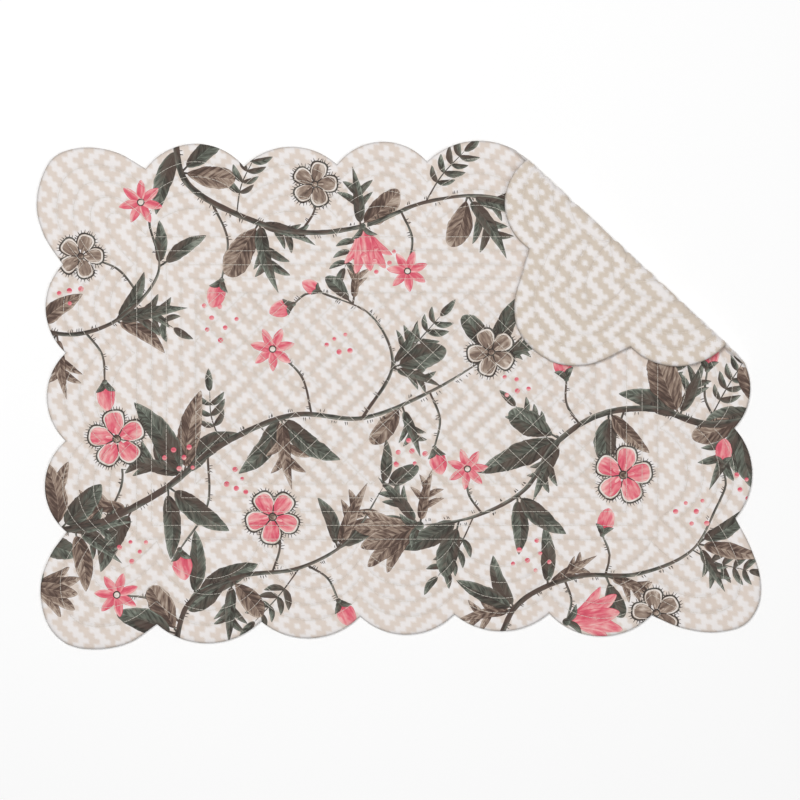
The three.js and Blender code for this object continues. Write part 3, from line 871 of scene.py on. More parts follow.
class Brush:
    """Draws whole motifs with one seeded source of small differences."""

    def __init__(self, design, seed):
        self.design = design
        self.rng = np.random.default_rng(seed)

    def shade(self, ink):
        """An ink with a seed between 0.1 and 0.9 behind its point, which varies the strokes."""
        return ink + self.rng.uniform(0.1, 0.9)

    def between(self, low, high):
        """A number picked evenly between two others."""
        return self.rng.uniform(low, high)

    def hairs(self, path, half):
        """Short dark hairs in twos and threes on both sides of a stem."""
        run = run_of(path)
        for at in np.arange(6, run[-1] - 4, HAIR_GAP):
            side = self.rng.choice([-1, 1])
            start = at + self.between(-2.5, 2.5)
            for k in range(self.rng.integers(2, 4)):
                far = start + HAIR_PITCH * k
                spot, ahead = place_at(path, run, far), place_at(path, run, far + 1)
                way = way_of(ahead - spot) + side * self.between(1.1, 1.7)
                self.design.blade(spot + toward(way, half - 0.1), way,
                                  HAIR_LENGTH * self.between(0.7, 1.1), HAIR_HALF, self.shade(DARK),
                                  0.1, 0.4)

    def stem(self, path, half, tip=0.25):
        """A stem with its hairs."""
        self.design.stem(path, half, self.shade(BARK), tip)
        self.hairs(path, half)

    def leaf(self, at, way, size, width=0.15, ink=GREEN, bend=None):
        """A leaf with its midline bent a little."""
        bend = self.between(-0.1, 0.1) * size if bend is None else bend
        self.design.blade(at, way, size, size * width, self.shade(ink), 0.55, 0.8, bend)

    def broad_leaf(self, at, way, size, ink):
        """A wide, blunt leaf."""
        self.design.blade(at, way, size * 0.82, size * self.between(0.17, 0.21), self.shade(ink),
                          self.between(0.5, 0.9), self.between(0.45, 0.7),
                          self.between(-0.05, 0.05) * size)

    def cut_leaf(self, at, way, size, ink):
        """A deeply cut leaf: lobes that leave its midline to both sides, under a middle one."""
        for share, side, reach in CUT_LOBES:
            spot = at + toward(way, size * share * 0.9)
            lean = side * self.between(0.6, 0.95)
            self.design.blade(spot, way + lean, size * reach * self.between(0.85, 1.1),
                              size * 0.062, self.shade(ink), 0.45, 0.8, side * size * -0.03)
        self.design.blade(at, way, size, size * 0.1, self.shade(ink), 0.4, 1.0,
                          self.between(-0.06, 0.06) * size)

    def whorl(self, at, way, count, spread, size):
        """Leaves that spread like a hand's fingers, the middle ones longest and laid last."""
        order = sorted(range(count), key=lambda k: -abs(k - (count - 1) / 2))
        brown = self.rng.integers(0, count + 1)
        for k in order:
            off = k - (count - 1) / 2
            length = size * (1 - 0.12 * abs(off)) * self.between(0.85, 1.05)
            turn = way + off * spread + self.between(-0.08, 0.08)
            ink = BROWN if k == brown else GREEN
            stalk = self.between(3, 6)
            self.design.blade(at, turn, stalk * 2, 0.8, self.shade(BARK), 0.05, 0.3)
            base = at + toward(turn, stalk)
            kind = self.rng.random()
            if kind < 0.24:
                self.cut_leaf(base, turn, length, ink)
            elif kind < 0.5:
                self.broad_leaf(base, turn, length, ink)
            else:
                self.leaf(base, turn, length, self.between(0.13, 0.17), ink, off * length * -0.09)

    def bud(self, at, way, size):
        """A closed pink bud in a cup of two small leaves."""
        self.design.blade(at + toward(way, size * 0.08), way, size, size * 0.34, self.shade(PINK),
                          0.5, 0.62)
        for lean in (-0.8, 0.8):
            self.design.blade(at, way + lean, size * 0.52, size * 0.12, self.shade(GREEN), 0.5,
                              0.85, -lean * 1.6)
        self.design.disc(at, size * 0.1, self.shade(GREEN))

    def petals(self, at, turn, count, radius, width, ink, base=ROUND_PETAL[0], tip=ROUND_PETAL[1]):
        """One ring of petals of a given reach and half width."""
        for k in range(count):
            self.design.blade(at, turn + TAU * k / count, radius, width, self.shade(ink), base, tip)

    def blossom(self, at, radius, count, ink):
        """An open blossom: five round petals in a dark hairy rim, or seven slim ones."""
        turn = self.between(0, TAU)
        if count > 5:
            self.petals(at, turn, count, radius, radius * 0.2, ink, 0.7, 0.75)
            self.design.disc(at, radius * 0.17, self.shade(DARK))
            self.design.disc(at, radius * 0.12, self.shade(BUFF))
            return
        width = radius * 0.36
        for k in range(count):
            way = turn + TAU * k / count
            share = np.append(np.linspace(0.4, 0.96, 12), 1 - np.geomspace(0.02, 0.0005, 4))
            wide = blade_half(share, width / blade_scale(*ROUND_PETAL), *ROUND_PETAL)
            for side in (-1, 1):
                rim = at + toward(way) * radius * share[:, None]
                rim = rim + toward(way + math.pi / 2, side) * wide[:, None]
                run = run_of(rim)
                for far in np.arange(0.6, run[-1], RIM_HAIR_PITCH):
                    spot, ahead = place_at(rim, run, far), place_at(rim, run, far + 0.4)
                    out = way_of(ahead - spot) + side * RIM_HAIR_LEAN
                    self.design.blade(spot, out + self.between(-0.2, 0.2), RIM_HAIR_LENGTH,
                                      HAIR_HALF, self.shade(DARK), 0.1, 0.4)
        self.petals(at, turn, count, radius + 0.9, width + 0.9, DARK)
        self.petals(at, turn, count, radius - 0.2, width - 0.1, BUFF)
        self.design.disc(at, radius * 0.3, self.shade(ink))
        self.petals(at, turn, count, radius - 1.3, width - 1.1, ink)
        self.petals(at, turn + TAU / count / 2, count, radius * 0.46, 0.5, DARK, 0.1, 0.4)
        self.petals(at, turn, count, radius * 0.4, radius * 0.07, BROWN if ink == TAUPE else PINK)
        self.design.disc(at, radius * 0.16, self.shade(DARK))
        self.design.disc(at, radius * 0.12, self.shade(BROWN))

    def lily(self, at, way, size, ink):
        """A half-open flower of five long petals in a cup of small leaves."""
        for lean, reach, wide in LILY_PETALS:
            self.design.blade(at, way + lean, size * reach, size * wide, self.shade(ink), 0.6, 0.6,
                              -lean * size * 0.13)
        for lean in (-0.9, 0.9):
            self.leaf(at, way + lean, size * 0.36, 0.16, GREEN, -lean * 2)
        self.design.disc(at, size * 0.07, self.shade(GREEN))

    def sprig(self, start, end):
        """A twig with small leaves in pairs and one at its tip."""
        path = smooth_path([start, (np.add(start, end) / 2) + self.rng.uniform(-4, 4, 2), end], 24)
        self.design.stem(path, SPRIG_HALF, self.shade(BARK))
        run = run_of(path)
        for at in np.arange(run[-1] * 0.35, run[-1] - 3, SPRIG_PITCH):
            k = min(int(np.searchsorted(run, at)), len(path) - 2)
            way = way_of(path[k + 1] - path[k])
            for lean in (-0.85, 0.85):
                self.leaf(path[k], way + lean, self.between(11, 15), 0.17, GREEN, lean * 1.4)
        self.leaf(path[-1], way_of(path[-1] - path[-2]), 15, 0.17)


def twig_path(bough, share, end):
    """A twig from a share of a bough's length to its end, curving away from the bough."""
    run = run_of(bough)
    start = place_at(bough, run, share * run[-1])
    before = place_at(bough, run, share * run[-1] - 4)
    end = np.asarray(end, float)
    way, line = start - before, end - start
    side = np.sign(way[0] * line[1] - way[1] * line[0])
    bulge = np.array([line[1], -line[0]]) * side * 0.14
    return smooth_path([start, (start + end) / 2 + bulge, end], 24)


def draw_print(design, seed):
    """Lays the whole design: sprigs and twigs, leaves, boughs, and then flowers and berries.

    A twig that leaves its bough's very end also runs under the bough's last eighth, which tapers.
    Berry k of n strays by the square root of k over n, a golden angle further round each time.
    """
    brush = Brush(design, seed)
    boughs = [smooth_path(points, 30) for _, points in BOUGHS]
    for x, y, to_x, to_y in SPRIGS:
        brush.sprig((x, y), (to_x, to_y))
    for bough, share, x, y in TWIGS:
        path = boughs[bough]
        brush.stem(twig_path(path, share, (x, y)), TWIG_HALF, 0.1)
        if share == 1:
            design.stem(path[-len(path) // 8 :], TWIG_HALF, BARK + 0.5, 0.02)
    for bough, share, angle, count, spread, size in WHORLS:
        run = run_of(boughs[bough])
        spot = place_at(boughs[bough], run, share * run[-1])
        brush.whorl(spot, math.radians(angle), count, math.radians(spread), size)
    for path, (half, _) in zip(boughs, BOUGHS):
        brush.stem(path, half, 0.45)
    for x, y, angle, size, ink in LILIES:
        brush.lily(np.array([x, y], float), math.radians(angle), size, ink)
    for x, y, radius, count, ink in BLOSSOMS:
        brush.blossom(np.array([x, y], float), radius, count, ink)
    for x, y, angle, size in BUDS:
        brush.bud(np.array([x, y], float), math.radians(angle), size)
    for x, y, stray, count in BERRIES:
        turn = brush.between(0, TAU)
        for k in range(count):
            away = stray * math.sqrt((k + brush.between(0.2, 0.8)) / count)
            spot = (x, y) + toward(turn + k * GOLDEN_ANGLE, away)
            design.disc(spot, brush.between(1.3, 1.9), brush.shade(PINK))


# Shaders

# The Mix node's sockets for each kind: what lies under, what lies over, and what comes out
MIX_SOCKETS = {"RGBA": (6, 7, 2), "VECTOR": (4, 5, 1)}

# Brushwork, in millimetres: how far veins stand apart, the widths of the pale rim inside a shape's
# edge and of its outline, and half the midrib's width; and the brown of the patches
VEIN_GAP = 4.4
PALE_RIM = 0.9
OUTLINE_WIDTH = 0.34
MIDRIB_HALF = 0.16
LEAF_BROWN = (92, 75, 68)


class Value:
    """One number in a shader: sums, products and powers of such values make the Math nodes."""

    def __init__(self, tree, socket):
        self.tree, self.socket = tree, socket

    def math(self, operation, *others, clamp=False):
        """What a Math node makes of this value and the others."""
        node = self.tree.nodes.new("ShaderNodeMath")
        node.operation = operation
        node.use_clamp = clamp
        for plug, value in zip(node.inputs, (self, *others)):
            connect(self.tree, value, plug)
        return Value(self.tree, node.outputs[0])

    def __add__(self, other):
        return self.math("ADD", other)

    def __sub__(self, other):
        return self.math("SUBTRACT", other)

    def __rsub__(self, other):
        return self.math("MULTIPLY_ADD", -1, other)

    def __mul__(self, other):
        return self.math("MULTIPLY", other)

    def __truediv__(self, other):
        return self.math("DIVIDE", other)

    def __rtruediv__(self, other):
        return self.math("POWER", -1) * other

    def __pow__(self, other):
        return self.math("POWER", other)

    def __mod__(self, other):
        return self.math("FLOORED_MODULO", other)

    def __neg__(self):
        return self.math("MULTIPLY", -1)

    def __abs__(self):
        return self.math("ABSOLUTE")

    __radd__ = __add__
    __rmul__ = __mul__

    def above(self, edge, soft=0.1):
        """A mask: 1 above the edge and 0 below it, with a ramp as long as soft says."""
        return self.math("MULTIPLY_ADD", 1 / soft, 0.5 - edge / soft, clamp=True)

    def below(self, edge, soft=0.1):
        """A mask: 1 below the edge and 0 above it."""
        return self.math("MULTIPLY_ADD", -1 / soft, 0.5 + edge / soft, clamp=True)


def connect(tree, value, plug):
    """Links a value, a socket or a plain number to a node's input."""
    if isinstance(value, Value):
        tree.links.new(value.socket, plug)
    elif isinstance(value, bpy.types.NodeSocket):
        tree.links.new(value, plug)
    else:
        plug.default_value = value


def separate(tree, vector):
    """The three numbers of a vector."""
    node = tree.nodes.new("ShaderNodeSeparateXYZ")
    connect(tree, vector, node.inputs[0])
    return [Value(tree, socket) for socket in node.outputs]


def combine(tree, *numbers):
    """A vector of three numbers."""
    node = tree.nodes.new("ShaderNodeCombineXYZ")
    for plug, number in zip(node.inputs, numbers):
        connect(tree, number, plug)
    return node.outputs[0]


def noise(tree, vector, scale, detail=2.0):
    """Smooth noise from 0 to 1 round 0.5, in three dimensions."""
    node = tree.nodes.new("ShaderNodeTexNoise")
    connect(tree, vector, node.inputs["Vector"])
    node.inputs["Scale"].default_value = scale
    node.inputs["Detail"].default_value = detail
    return Value(tree, node.outputs[0])


def mix(tree, kind, factor, under, over, blend="MIX"):
    """One colour or vector mixed over another by a factor."""
    node = tree.nodes.new("ShaderNodeMix")
    node.data_type = kind
    node.blend_type = blend
    low, high, out = MIX_SOCKETS[kind]
    connect(tree, factor, node.inputs[0])
    connect(tree, under, node.inputs[low])
    connect(tree, over, node.inputs[high])
    return node.outputs[out]


def tint(tree, factor, under, over, blend="MIX"):
    """A colour mixed over another by a factor; each is a socket or three numbers."""
    pair = [(*each, 1) if isinstance(each, tuple) else each for each in (under, over)]
    return mix(tree, "RGBA", factor, *pair, blend)


def ramp(tree, factor, stops, interpolation="LINEAR"):
    """A colour ramp's output, from (position, colour) stops."""
    node = tree.nodes.new("ShaderNodeValToRGB")
    node.color_ramp.interpolation = interpolation
    elements = node.color_ramp.elements
    while len(elements) < len(stops):
        elements.new(0.5)
    for element, (position, colour) in zip(elements, stops):
        element.position = position
        element.color = (*colour, 1)
    connect(tree, factor, node.inputs[0])
    return node.outputs[0]


def new_group(name, inputs, outputs):
    """A shader node group with named sockets: gives its tree, its inputs and its output node."""
    tree = bpy.data.node_groups.new(name, "ShaderNodeTree")
    for label, kind in inputs.items():
        tree.interface.new_socket(name=label, in_out="INPUT", socket_type=f"NodeSocket{kind}")
    for label, kind in outputs.items():
        tree.interface.new_socket(name=label, in_out="OUTPUT", socket_type=f"NodeSocket{kind}")
    entry, leave = tree.nodes.new("NodeGroupInput"), tree.nodes.new("NodeGroupOutput")
    return tree, entry.outputs, leave.inputs


def use_group(tree, group, **inputs):
    """Places a group in a tree, with its inputs linked, and gives its outputs."""
    node = tree.nodes.new("ShaderNodeGroup")
    node.node_tree = group
    for label, value in inputs.items():
        connect(tree, value, node.inputs[label.replace("_", " ").capitalize()])
    return node.outputs


def attribute(tree, name, output="Vector"):
    """A mesh attribute's output."""
    node = tree.nodes.new("ShaderNodeAttribute")
    node.attribute_name = name
    return node.outputs[output]


def build_motif_group():
    """Finds where one layer's blade is, and passes on its coordinates in place of those below.

    u runs from base to tip; the blade is where the distance across is under half u^base (1-u)^tip.
    The edge holds the gap to the blade's edge, u and the ink.
    """
    tree, given, made = new_group(
        "Printed blade",
        {"Place": "Vector", "Look": "Vector", "Ink": "Float", "Wobble": "Float",
         "Under place": "Vector", "Under edge": "Vector", "Under cover": "Float"},
        {"Place": "Vector", "Edge": "Vector", "Cover": "Float"},
    )
    along, across, length = separate(tree, given["Place"])
    half, base, tip = separate(tree, given["Look"])
    u = along.math("DIVIDE", length.math("MAXIMUM", 0.01), clamp=True)
    wobble = Value(tree, given["Wobble"])
    gap = half * u**base * (1 - u) ** tip * wobble - abs(across)
    inside = gap.math("GREATER_THAN", 0)
    cover = gap.above(0.08, 0.16)
    edge = combine(tree, gap, u, given["Ink"])
    place = mix(tree, "VECTOR", inside, given["Under place"], given["Place"])
    connect(tree, place, made["Place"])
    connect(tree, mix(tree, "VECTOR", inside, given["Under edge"], edge), made["Edge"])
    connect(tree, cover.math("MAXIMUM", given["Under cover"]), made["Cover"])
    return tree


def build_brushwork_group():
    """Paints the blade that shows: the colour of its ink at a tone from 0 to 1.

    The tone rises with drawn-out noise, which makes the brush strokes, towards the tip and in a
    pale rim inside the edge, and falls at the outline and on the shaded half. Leaves get a pale
    midrib and slanting veins, and leaves and stems get brown patches.
    """
    tree, given, made = new_group(
        "Brushwork", {"Place": "Vector", "Edge": "Vector"}, {"Colour": "Color"}
    )
    along, across, _ = separate(tree, given["Place"])
    gap, u, ink = separate(tree, given["Edge"])
    kind = ink.math("FLOOR")
    seed = ink - kind
    leafy = kind.below(BROWN + 0.5)
    shaded = across.above(0, 0.9)
    forward = along - abs(across) * 1.3
    lengthwise = combine(tree, along * 0.14, across * 0.42, seed * 90)
    slantwise = combine(tree, forward * 0.34, across * 0.2, seed * 90)
    stroke = noise(tree, mix(tree, "VECTOR", leafy, lengthwise, slantwise), 1, 3) - 0.5
    patch = noise(tree, combine(tree, along * 0.05, across * 0.14, seed * 40), 1, 2) - 0.5
    tone = stroke * 1.7 + u * 0.34 - shaded * 0.16 + 0.4
    slant = forward / VEIN_GAP + patch * 2
    vein = abs(slant % 1 - 0.5).below(0.07, 0.1) * leafy * gap.above(PALE_RIM, 1.0)
    tone = tone - vein * 0.2
    tone = tone + gap.below(PALE_RIM, 1.0) * (1 - shaded * 0.7) * 0.34
    spine = abs(across).below(MIDRIB_HALF, 0.16) * leafy * gap.above(0.5, 0.6)
    tone = tone + spine * 0.3
    outline = gap.below(OUTLINE_WIDTH, 0.34) * (shaded * 0.45 + 0.45)
    tone = (tone * (1 - outline)).math("MAXIMUM", 0).math("MINIMUM", 1)
    stops = [((k + at) / len(INKS), srgb(*tones[step])) for k, tones in enumerate(TONES)
             for step, at in enumerate((0.02, 0.35, 0.66, 0.98))]
    colour = ramp(tree, (kind + tone * 0.94 + 0.03) / len(INKS), stops)
    browned = (patch * 2.6 + stroke * 1.8 + shaded * 0.16 - u * 0.5).above(-0.08, 0.5)
    patchy = kind.below(GREEN + 0.5) * 0.7 + kind.above(BARK - 0.5) * 0.85
    colour = tint(tree, browned * patchy, colour, srgb(*LEAF_BROWN))
    connect(tree, colour, made["Colour"])
    return tree


def build_ground_group():
    """The stepped diamonds of the ground, as a mask that is 1 on the pale cells.

    Across, a falls by one a cell for 9 cells and rises for 17; down, b falls and rises by the
    ramp's turns at 3, 6, 13, 16 and 19 cells; both repeat every 26. A cell is pale where
    a + b + 1, modulo 4, is under 2.
    """
    tree, given, made = new_group(
        "Stepped ground", {"Across": "Float", "Down": "Float"}, {"Pale": "Float"}
    )
    column = Value(tree, given["Across"]).math("FLOOR") % GROUND_REPEAT
    row = Value(tree, given["Down"]).math("FLOOR") % GROUND_REPEAT
    a = (-column).math("MAXIMUM", column - 2 * GROUND_TURN)
    stops = [(at / GROUND_REPEAT, (1 + b / GROUND_DEEPEST,) * 3) for at, b in GROUND_TURNS]
    level = Value(tree, ramp(tree, row / GROUND_REPEAT, stops))
    b = level * GROUND_DEEPEST - (GROUND_DEEPEST - 0.5)
    steps = (a + b.math("FLOOR") + 1) % 4
    pale = steps.below(1.5, 0.1)
    tree.links.new(pale.socket, made["Pale"])
    return tree


def build_cloth_group():
    """The quilted cloth's own surface, from a place and the ways to seam and rim in millimetres.

    The weave is a product of two sine waves. Puckers and the painted shade beside the seams fade
    with the distance d as 1 over 1 + (d / reach)², and the painted shade's dark line along the rim
    as 1 over 1 + (d / reach)⁴.
    """
    tree, given, made = new_group(
        "Quilted cloth",
        {"Place": "Vector", "To seam": "Float", "To rim": "Float", "Seam shade": "Float"},
        {"Height": "Float", "Tone": "Float"},
    )
    x, y, _ = separate(tree, given["Place"])
    weave = (x * (TAU / WEAVE_PITCH)).math("SINE") * (y * (TAU / WEAVE_PITCH)).math("SINE")
    slub = noise(tree, combine(tree, x * 0.25, y * 2.2, 0), 1, 2) - 0.5
    near = 1 / ((Value(tree, given["To seam"]) / SEAM_REACH) ** 2 + 1)
    pucker = noise(tree, combine(tree, x, y, 3), 0.32, 2) - 0.5
    swell = noise(tree, combine(tree, x, y, 8), 0.1, 2) - 0.5
    height = weave * 0.03 + slub * 0.05 + pucker * (near * 0.9 + 0.12) + swell * 0.5
    # Painted shade: a thin dark line along the rim, where the rounded edge turns away from the
    # light
    rim = 1 / ((Value(tree, given["To rim"]) / RIM_REACH) ** 4 + 1)
    # Painted shade beside the seams, where the quilting dips, and along the rim, taken off the
    # cloth's tone
    shade = near ** 3 * Value(tree, given["Seam shade"]) + rim * RIM_SHADE
    tone = 1 - shade + slub * 0.06 + weave * 0.02 + swell * 0.04
    tree.links.new(height.socket, made["Height"])
    tree.links.new(tone.socket, made["Tone"])
    return tree


def shared_groups():
    """The shader groups by name, each built the first time that it is asked for."""
    makers = {
        "Printed blade": build_motif_group,
        "Brushwork": build_brushwork_group,
        "Stepped ground": build_ground_group,
        "Quilted cloth": build_cloth_group,
    }
    built = bpy.data.node_groups
    return {name: built.get(name) or make() for name, make in makers.items()}


def start_material(name, finish):
    """A new material with nodes, whose shader has the given finish: gives it, its tree and its
    Principled shader."""
    material = bpy.data.materials.new(name)
    material.use_nodes = True
    tree = material.node_tree
    shader = tree.nodes["Principled BSDF"]
    for label, value in finish.items():
        shader.inputs[label].default_value = value
    return material, tree, shader


def ground_colour(tree, groups, place, inks, cell, start_x, start_y, tilt, fuzz):
    """The ground's colour at a place on the cloth, in millimetres, from its dark and pale inks.

    A repeat starts at (start_x, start_y), and its rows sink by tilt to the right. The cells are
    read at three places, INK_SPREAD apart, and averaged, and noise frays them.
    """
    x, y, _ = separate(tree, place)
    blur = (noise(tree, combine(tree, x, y, 1), 1.9, 1) - 0.5) * fuzz * 2
    drift = (noise(tree, combine(tree, x, y, 5), 0.03, 1) - 0.5) * 0.7
    right = x - start_x
    across = right / cell + 0.5 + blur + drift
    down = (start_y - y - right * tilt) / cell + 0.5 + blur - drift
    reads = [
        Value(tree, use_group(tree, groups["Stepped ground"], across=across + shift,
                              down=down + shift)["Pale"])
        for shift in (-INK_SPREAD, INK_SPREAD, 0)
    ]
    mottle = (noise(tree, combine(tree, x, y, 9), 1.1, 1) - 0.5) * fuzz * 0.7
    return tint(tree, (reads[0] + reads[1] + reads[2]) / 3 + mottle, *inks)


def finish_cloth(tree, shader, groups, place, colour, seam_shade):
    """Gives a cloth its weave and puckers, and its colour in the tone of its surface, which holds
    the painted shade beside its seams and along its rim.
    """
    surface = use_group(tree, groups["Quilted cloth"], place=place, seam_shade=seam_shade,
                        to_seam=attribute(tree, "to_seam", "Fac"),
                        to_rim=attribute(tree, "to_rim", "Fac"))
    tone = combine(tree, *[surface["Tone"]] * 3)
    connect(tree, tint(tree, 1.0, colour, tone, "MULTIPLY"), shader.inputs["Base Color"])
    bump = tree.nodes.new("ShaderNodeBump")
    bump.inputs["Strength"].default_value = BUMP_STRENGTH
    bump.inputs["Distance"].default_value = 1 / METRE
    connect(tree, surface["Height"], bump.inputs["Height"])
    connect(tree, bump.outputs[0], shader.inputs["Normal"])


def cloth_places(tree):
    """The place on the flat cloth, from the piece's own UV map: in metres, and in millimetres."""
    uv = tree.nodes.new("ShaderNodeUVMap")
    uv.uv_map = UV_NAME
    scale = tree.nodes.new("ShaderNodeVectorMath")
    scale.operation = "SCALE"
    connect(tree, uv.outputs[0], scale.inputs[0])
    scale.inputs["Scale"].default_value = METRE
    return uv.outputs[0], scale.outputs[0]


def face_material(groups, colours):
    """Printed cotton: the stepped ground, and over it the blades of the print's layers."""
    material, tree, shader = start_material("Printed face cotton", COTTON)
    uv, spot = cloth_places(tree)
    wobble = (noise(tree, uv, 110, 3) - 0.5) * 0.5 + 1
    place, edge, cover = (0, 0, 0), (0, 0, 0), 0.0
    for level in range(LAYERS):
        shown = use_group(
            tree, groups["Printed blade"], wobble=wobble,
            place=attribute(tree, f"print_{level}_place"),
            look=attribute(tree, f"print_{level}_look"),
            ink=attribute(tree, f"print_{level}_ink", "Fac"),
            under_place=place, under_edge=edge, under_cover=cover,
        )
        place, edge, cover = shown["Place"], shown["Edge"], shown["Cover"]
    painted = use_group(tree, groups["Brushwork"], place=place, edge=edge)["Colour"]
    inks = tuple(colours.face_ground), tuple(colours.pale_ground)
    colour = tint(tree, cover, ground_colour(tree, groups, spot, inks, **FACE_REPEAT), painted)
    finish_cloth(tree, shader, groups, spot, colour, FACE_SEAM_SHADE)
    return material


def back_material(groups, colours):
    """The reverse: the same stepped ground in a deeper beige, with nothing printed over it."""
    material, tree, shader = start_material("Patterned reverse cotton", COTTON)
    _, spot = cloth_places(tree)
    inks = tuple(colours.back_ground), tuple(colours.pale_ground)
    colour = ground_colour(tree, groups, spot, inks, **BACK_REPEAT)
    finish_cloth(tree, shader, groups, spot, colour, BACK_SEAM_SHADE)
    return material


def thread_material(colours):
    """Cream cotton thread, a little uneven in tone."""
    material, tree, shader = start_material("Quilting thread", {"Roughness": 0.8})
    coordinates = tree.nodes.new("ShaderNodeTexCoord")
    grain = noise(tree, coordinates.outputs["Object"], 900, 1)
    thread = tuple(colours.thread)
    worn = tuple(c * THREAD_WORN for c in thread)
    connect(tree, tint(tree, grain, worn, thread), shader.inputs["Base Color"])
    return material


# Making the pieces

def make_cloth(name, node, up, sizes, material):
    """One cloth of the mat: its outer and inner surfaces joined at the rim, cut along the fold,
    and then folded. Gives the object and its flat places."""
    sheet = Sheet()
    ring_height, field_height = height_field("face" if up else "back", sizes)
    rim = sheet.add(ring(0), FACE_RIM if up else BACK_RIM, 0, 0)
    sheet.side(rim, ring_rows(EDGE_ROWS, BAND_ROWS), ring_height, field_height, up, True)
    lining = FACE_UNDERSIDE if up else BACK_TOP
    sheet.side(rim, ring_rows(INNER_ROWS, INNER_ROWS), lambda seam, places: lining,
               lambda places: np.full(places.shape[:2], lining), not up, False)

    mesh = bpy.data.meshes.new(name)
    flat = np.column_stack([np.concatenate(sheet.places), np.concatenate(sheet.heights)])
    mesh.from_pydata(flat.tolist(), [], sheet.faces)
    for label, values in (("to_seam", sheet.to_seam), ("to_rim", sheet.to_rim)):
        made = mesh.attributes.new(label, "FLOAT", "POINT")
        made.data.foreach_set("value", np.concatenate(values).astype(np.float32))
    made = mesh.attributes.new("shows", "BOOLEAN", "FACE")
    made.data.foreach_set("value", sheet.shows)
    cut_for_fold(mesh)

    flat = read_all(mesh.vertices, "co", width=3).reshape(-1, 3)
    mesh.vertices.foreach_set("co", (fold(flat[:, :2], flat[:, 2]) / METRE).ravel())
    mesh.polygons.foreach_set("use_smooth", np.ones(len(mesh.polygons), bool))
    pattern = flat[:, :2]
    if not up:
        past = pattern @ ACROSS - FOLD_REACH
        pattern = pattern - 2 * past[:, None] * ACROSS
    corners = read_all(mesh.loops, "vertex_index", int)
    uv = mesh.uv_layers.new(name=UV_NAME)
    uv.data.foreach_set("uv", (pattern[corners] / METRE).astype(np.float32).ravel())
    mesh.materials.append(material)
    mesh.update()

    piece = place_object(name, mesh)
    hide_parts(node)
    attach(piece, "root")
    return piece, flat


def seam_paths():
    """Every seam as a dense row of places: the rings first, then the slanting lines."""
    paths = []
    for seam in range(1, FRAME_LAST + 1):
        row = ring(seam)
        paths.append(np.vstack([row, row[:1]]))
    columns, rows = DIAMONDS
    for slope in (1, -1):
        for start in range(-rows + 1, columns):
            enter, leave = max(0, start), min(columns, start + rows)
            a = np.linspace(enter, leave, 60)
            b = (a - start) if slope == 1 else (rows - a + start)
            x = FIELD["left"] + FIELD_WIDTH * a / columns
            y = FIELD["top"] - FIELD_DEPTH * b / rows
            paths.append(np.stack([x, y], 1))
    return paths


def make_stitches(name, up, sizes, material):
    """The quilting stitches in all seams of one cloth, each a short three-sided rod with pointed
    ends, lying in its seam. A station t along a stitch lies at its middle plus t times its half
    length."""
    pitch, long = sizes.stitch_pitch * METRE, sizes.stitch_length * METRE
    radius = sizes.thread_width * METRE / 2
    ring_height, _ = height_field("face" if up else "back", sizes)
    floor_height = float(ring_height(FRAME_LAST, ring(FRAME_LAST))[0])
    places, heights = [], []
    for path in seam_paths():
        run = run_of(path)
        count = max(1, round(run[-1] / pitch))
        middles = (np.arange(count) + 0.5) * run[-1] / count
        stations = np.clip(middles[:, None] + STITCH_STATIONS * long / 2, 0, run[-1])
        at = place_at(path, run, stations)
        way = at[:, 3] - at[:, 0]
        way /= np.hypot(*way.T)[:, None]
        aside = np.stack([-way[:, 1], way[:, 0]], 1) * radius
        stitch = [at[:, 0], at[:, 1] - aside, at[:, 1], at[:, 1] + aside,
                  at[:, 2] - aside, at[:, 2], at[:, 2] + aside, at[:, 3]]
        places.append(np.stack(stitch, 1).reshape(-1, 2))
        heights.append(np.tile(STITCH_RISE * radius, count))
    places, heights = np.concatenate(places), np.concatenate(heights)
    level = floor_height + (heights if up else -heights)
    firsts = np.arange(0, len(places), len(STITCH_RISE))[:, None, None]
    faces = []
    for template in (STITCH_ENDS, STITCH_SIDES):
        corners = template if up else template[:, ::-1]
        faces += (firsts + corners).reshape(-1, template.shape[1]).tolist()
    mesh = bpy.data.meshes.new(name)
    mesh.from_pydata((fold(places, level) / METRE).tolist(), [], faces)
    mesh.materials.append(material)
    piece = place_object(name, mesh)
    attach(piece, "root")
    return piece


# Settings, operators and panel

def metres(label, text, default):
    """A length property in metres."""
    return bpy.props.FloatProperty(
        name=label, description=text, default=default, subtype="DISTANCE", unit="LENGTH"
    )


def swatch(label, text, default):
    """A colour property, given as an 8-bit screen colour."""
    return bpy.props.FloatVectorProperty(
        name=label, description=text, default=srgb(*default), subtype="COLOR", min=0, max=1
    )


class PlacematSizes(bpy.types.PropertyGroup):
    """Sizes of the quilting"""

    seam_thickness: metres("Thickness at seams", "The face's thickness in a seam", 0.00085)
    crest_rise: metres("Crest rise", "How far the face rises between two seams", 0.0008)
    back_dent: metres("Reverse dent", "How far a seam sinks into the lying reverse", 0.00035)
    flap_puff: metres("Corner puff", "How far the folded corner's reverse puffs up", 0.0006)
    stitch_pitch: metres("Stitch pitch", "From one stitch to the next", 0.0028)
    stitch_length: metres("Stitch length", "The part of a stitch that shows", 0.00275)
    thread_width: metres("Thread width", "The quilting thread's width", 0.00036)


class PlacematColours(bpy.types.PropertyGroup):
    """Colours of the cloths, the thread and the floor"""

    pale_ground: swatch("Pale ground", "The ground's off-white cells", (236, 231, 229))
    face_ground: swatch("Face ground", "The ground's beige cells on the face", (221, 208, 198))
    back_ground: swatch("Reverse ground", "The reverse's beige cells", (211, 198, 184))
    thread: swatch("Thread", "The quilting thread", (234, 227, 217))
    floor: swatch("Floor", "The plain floor", (254, 254, 254))


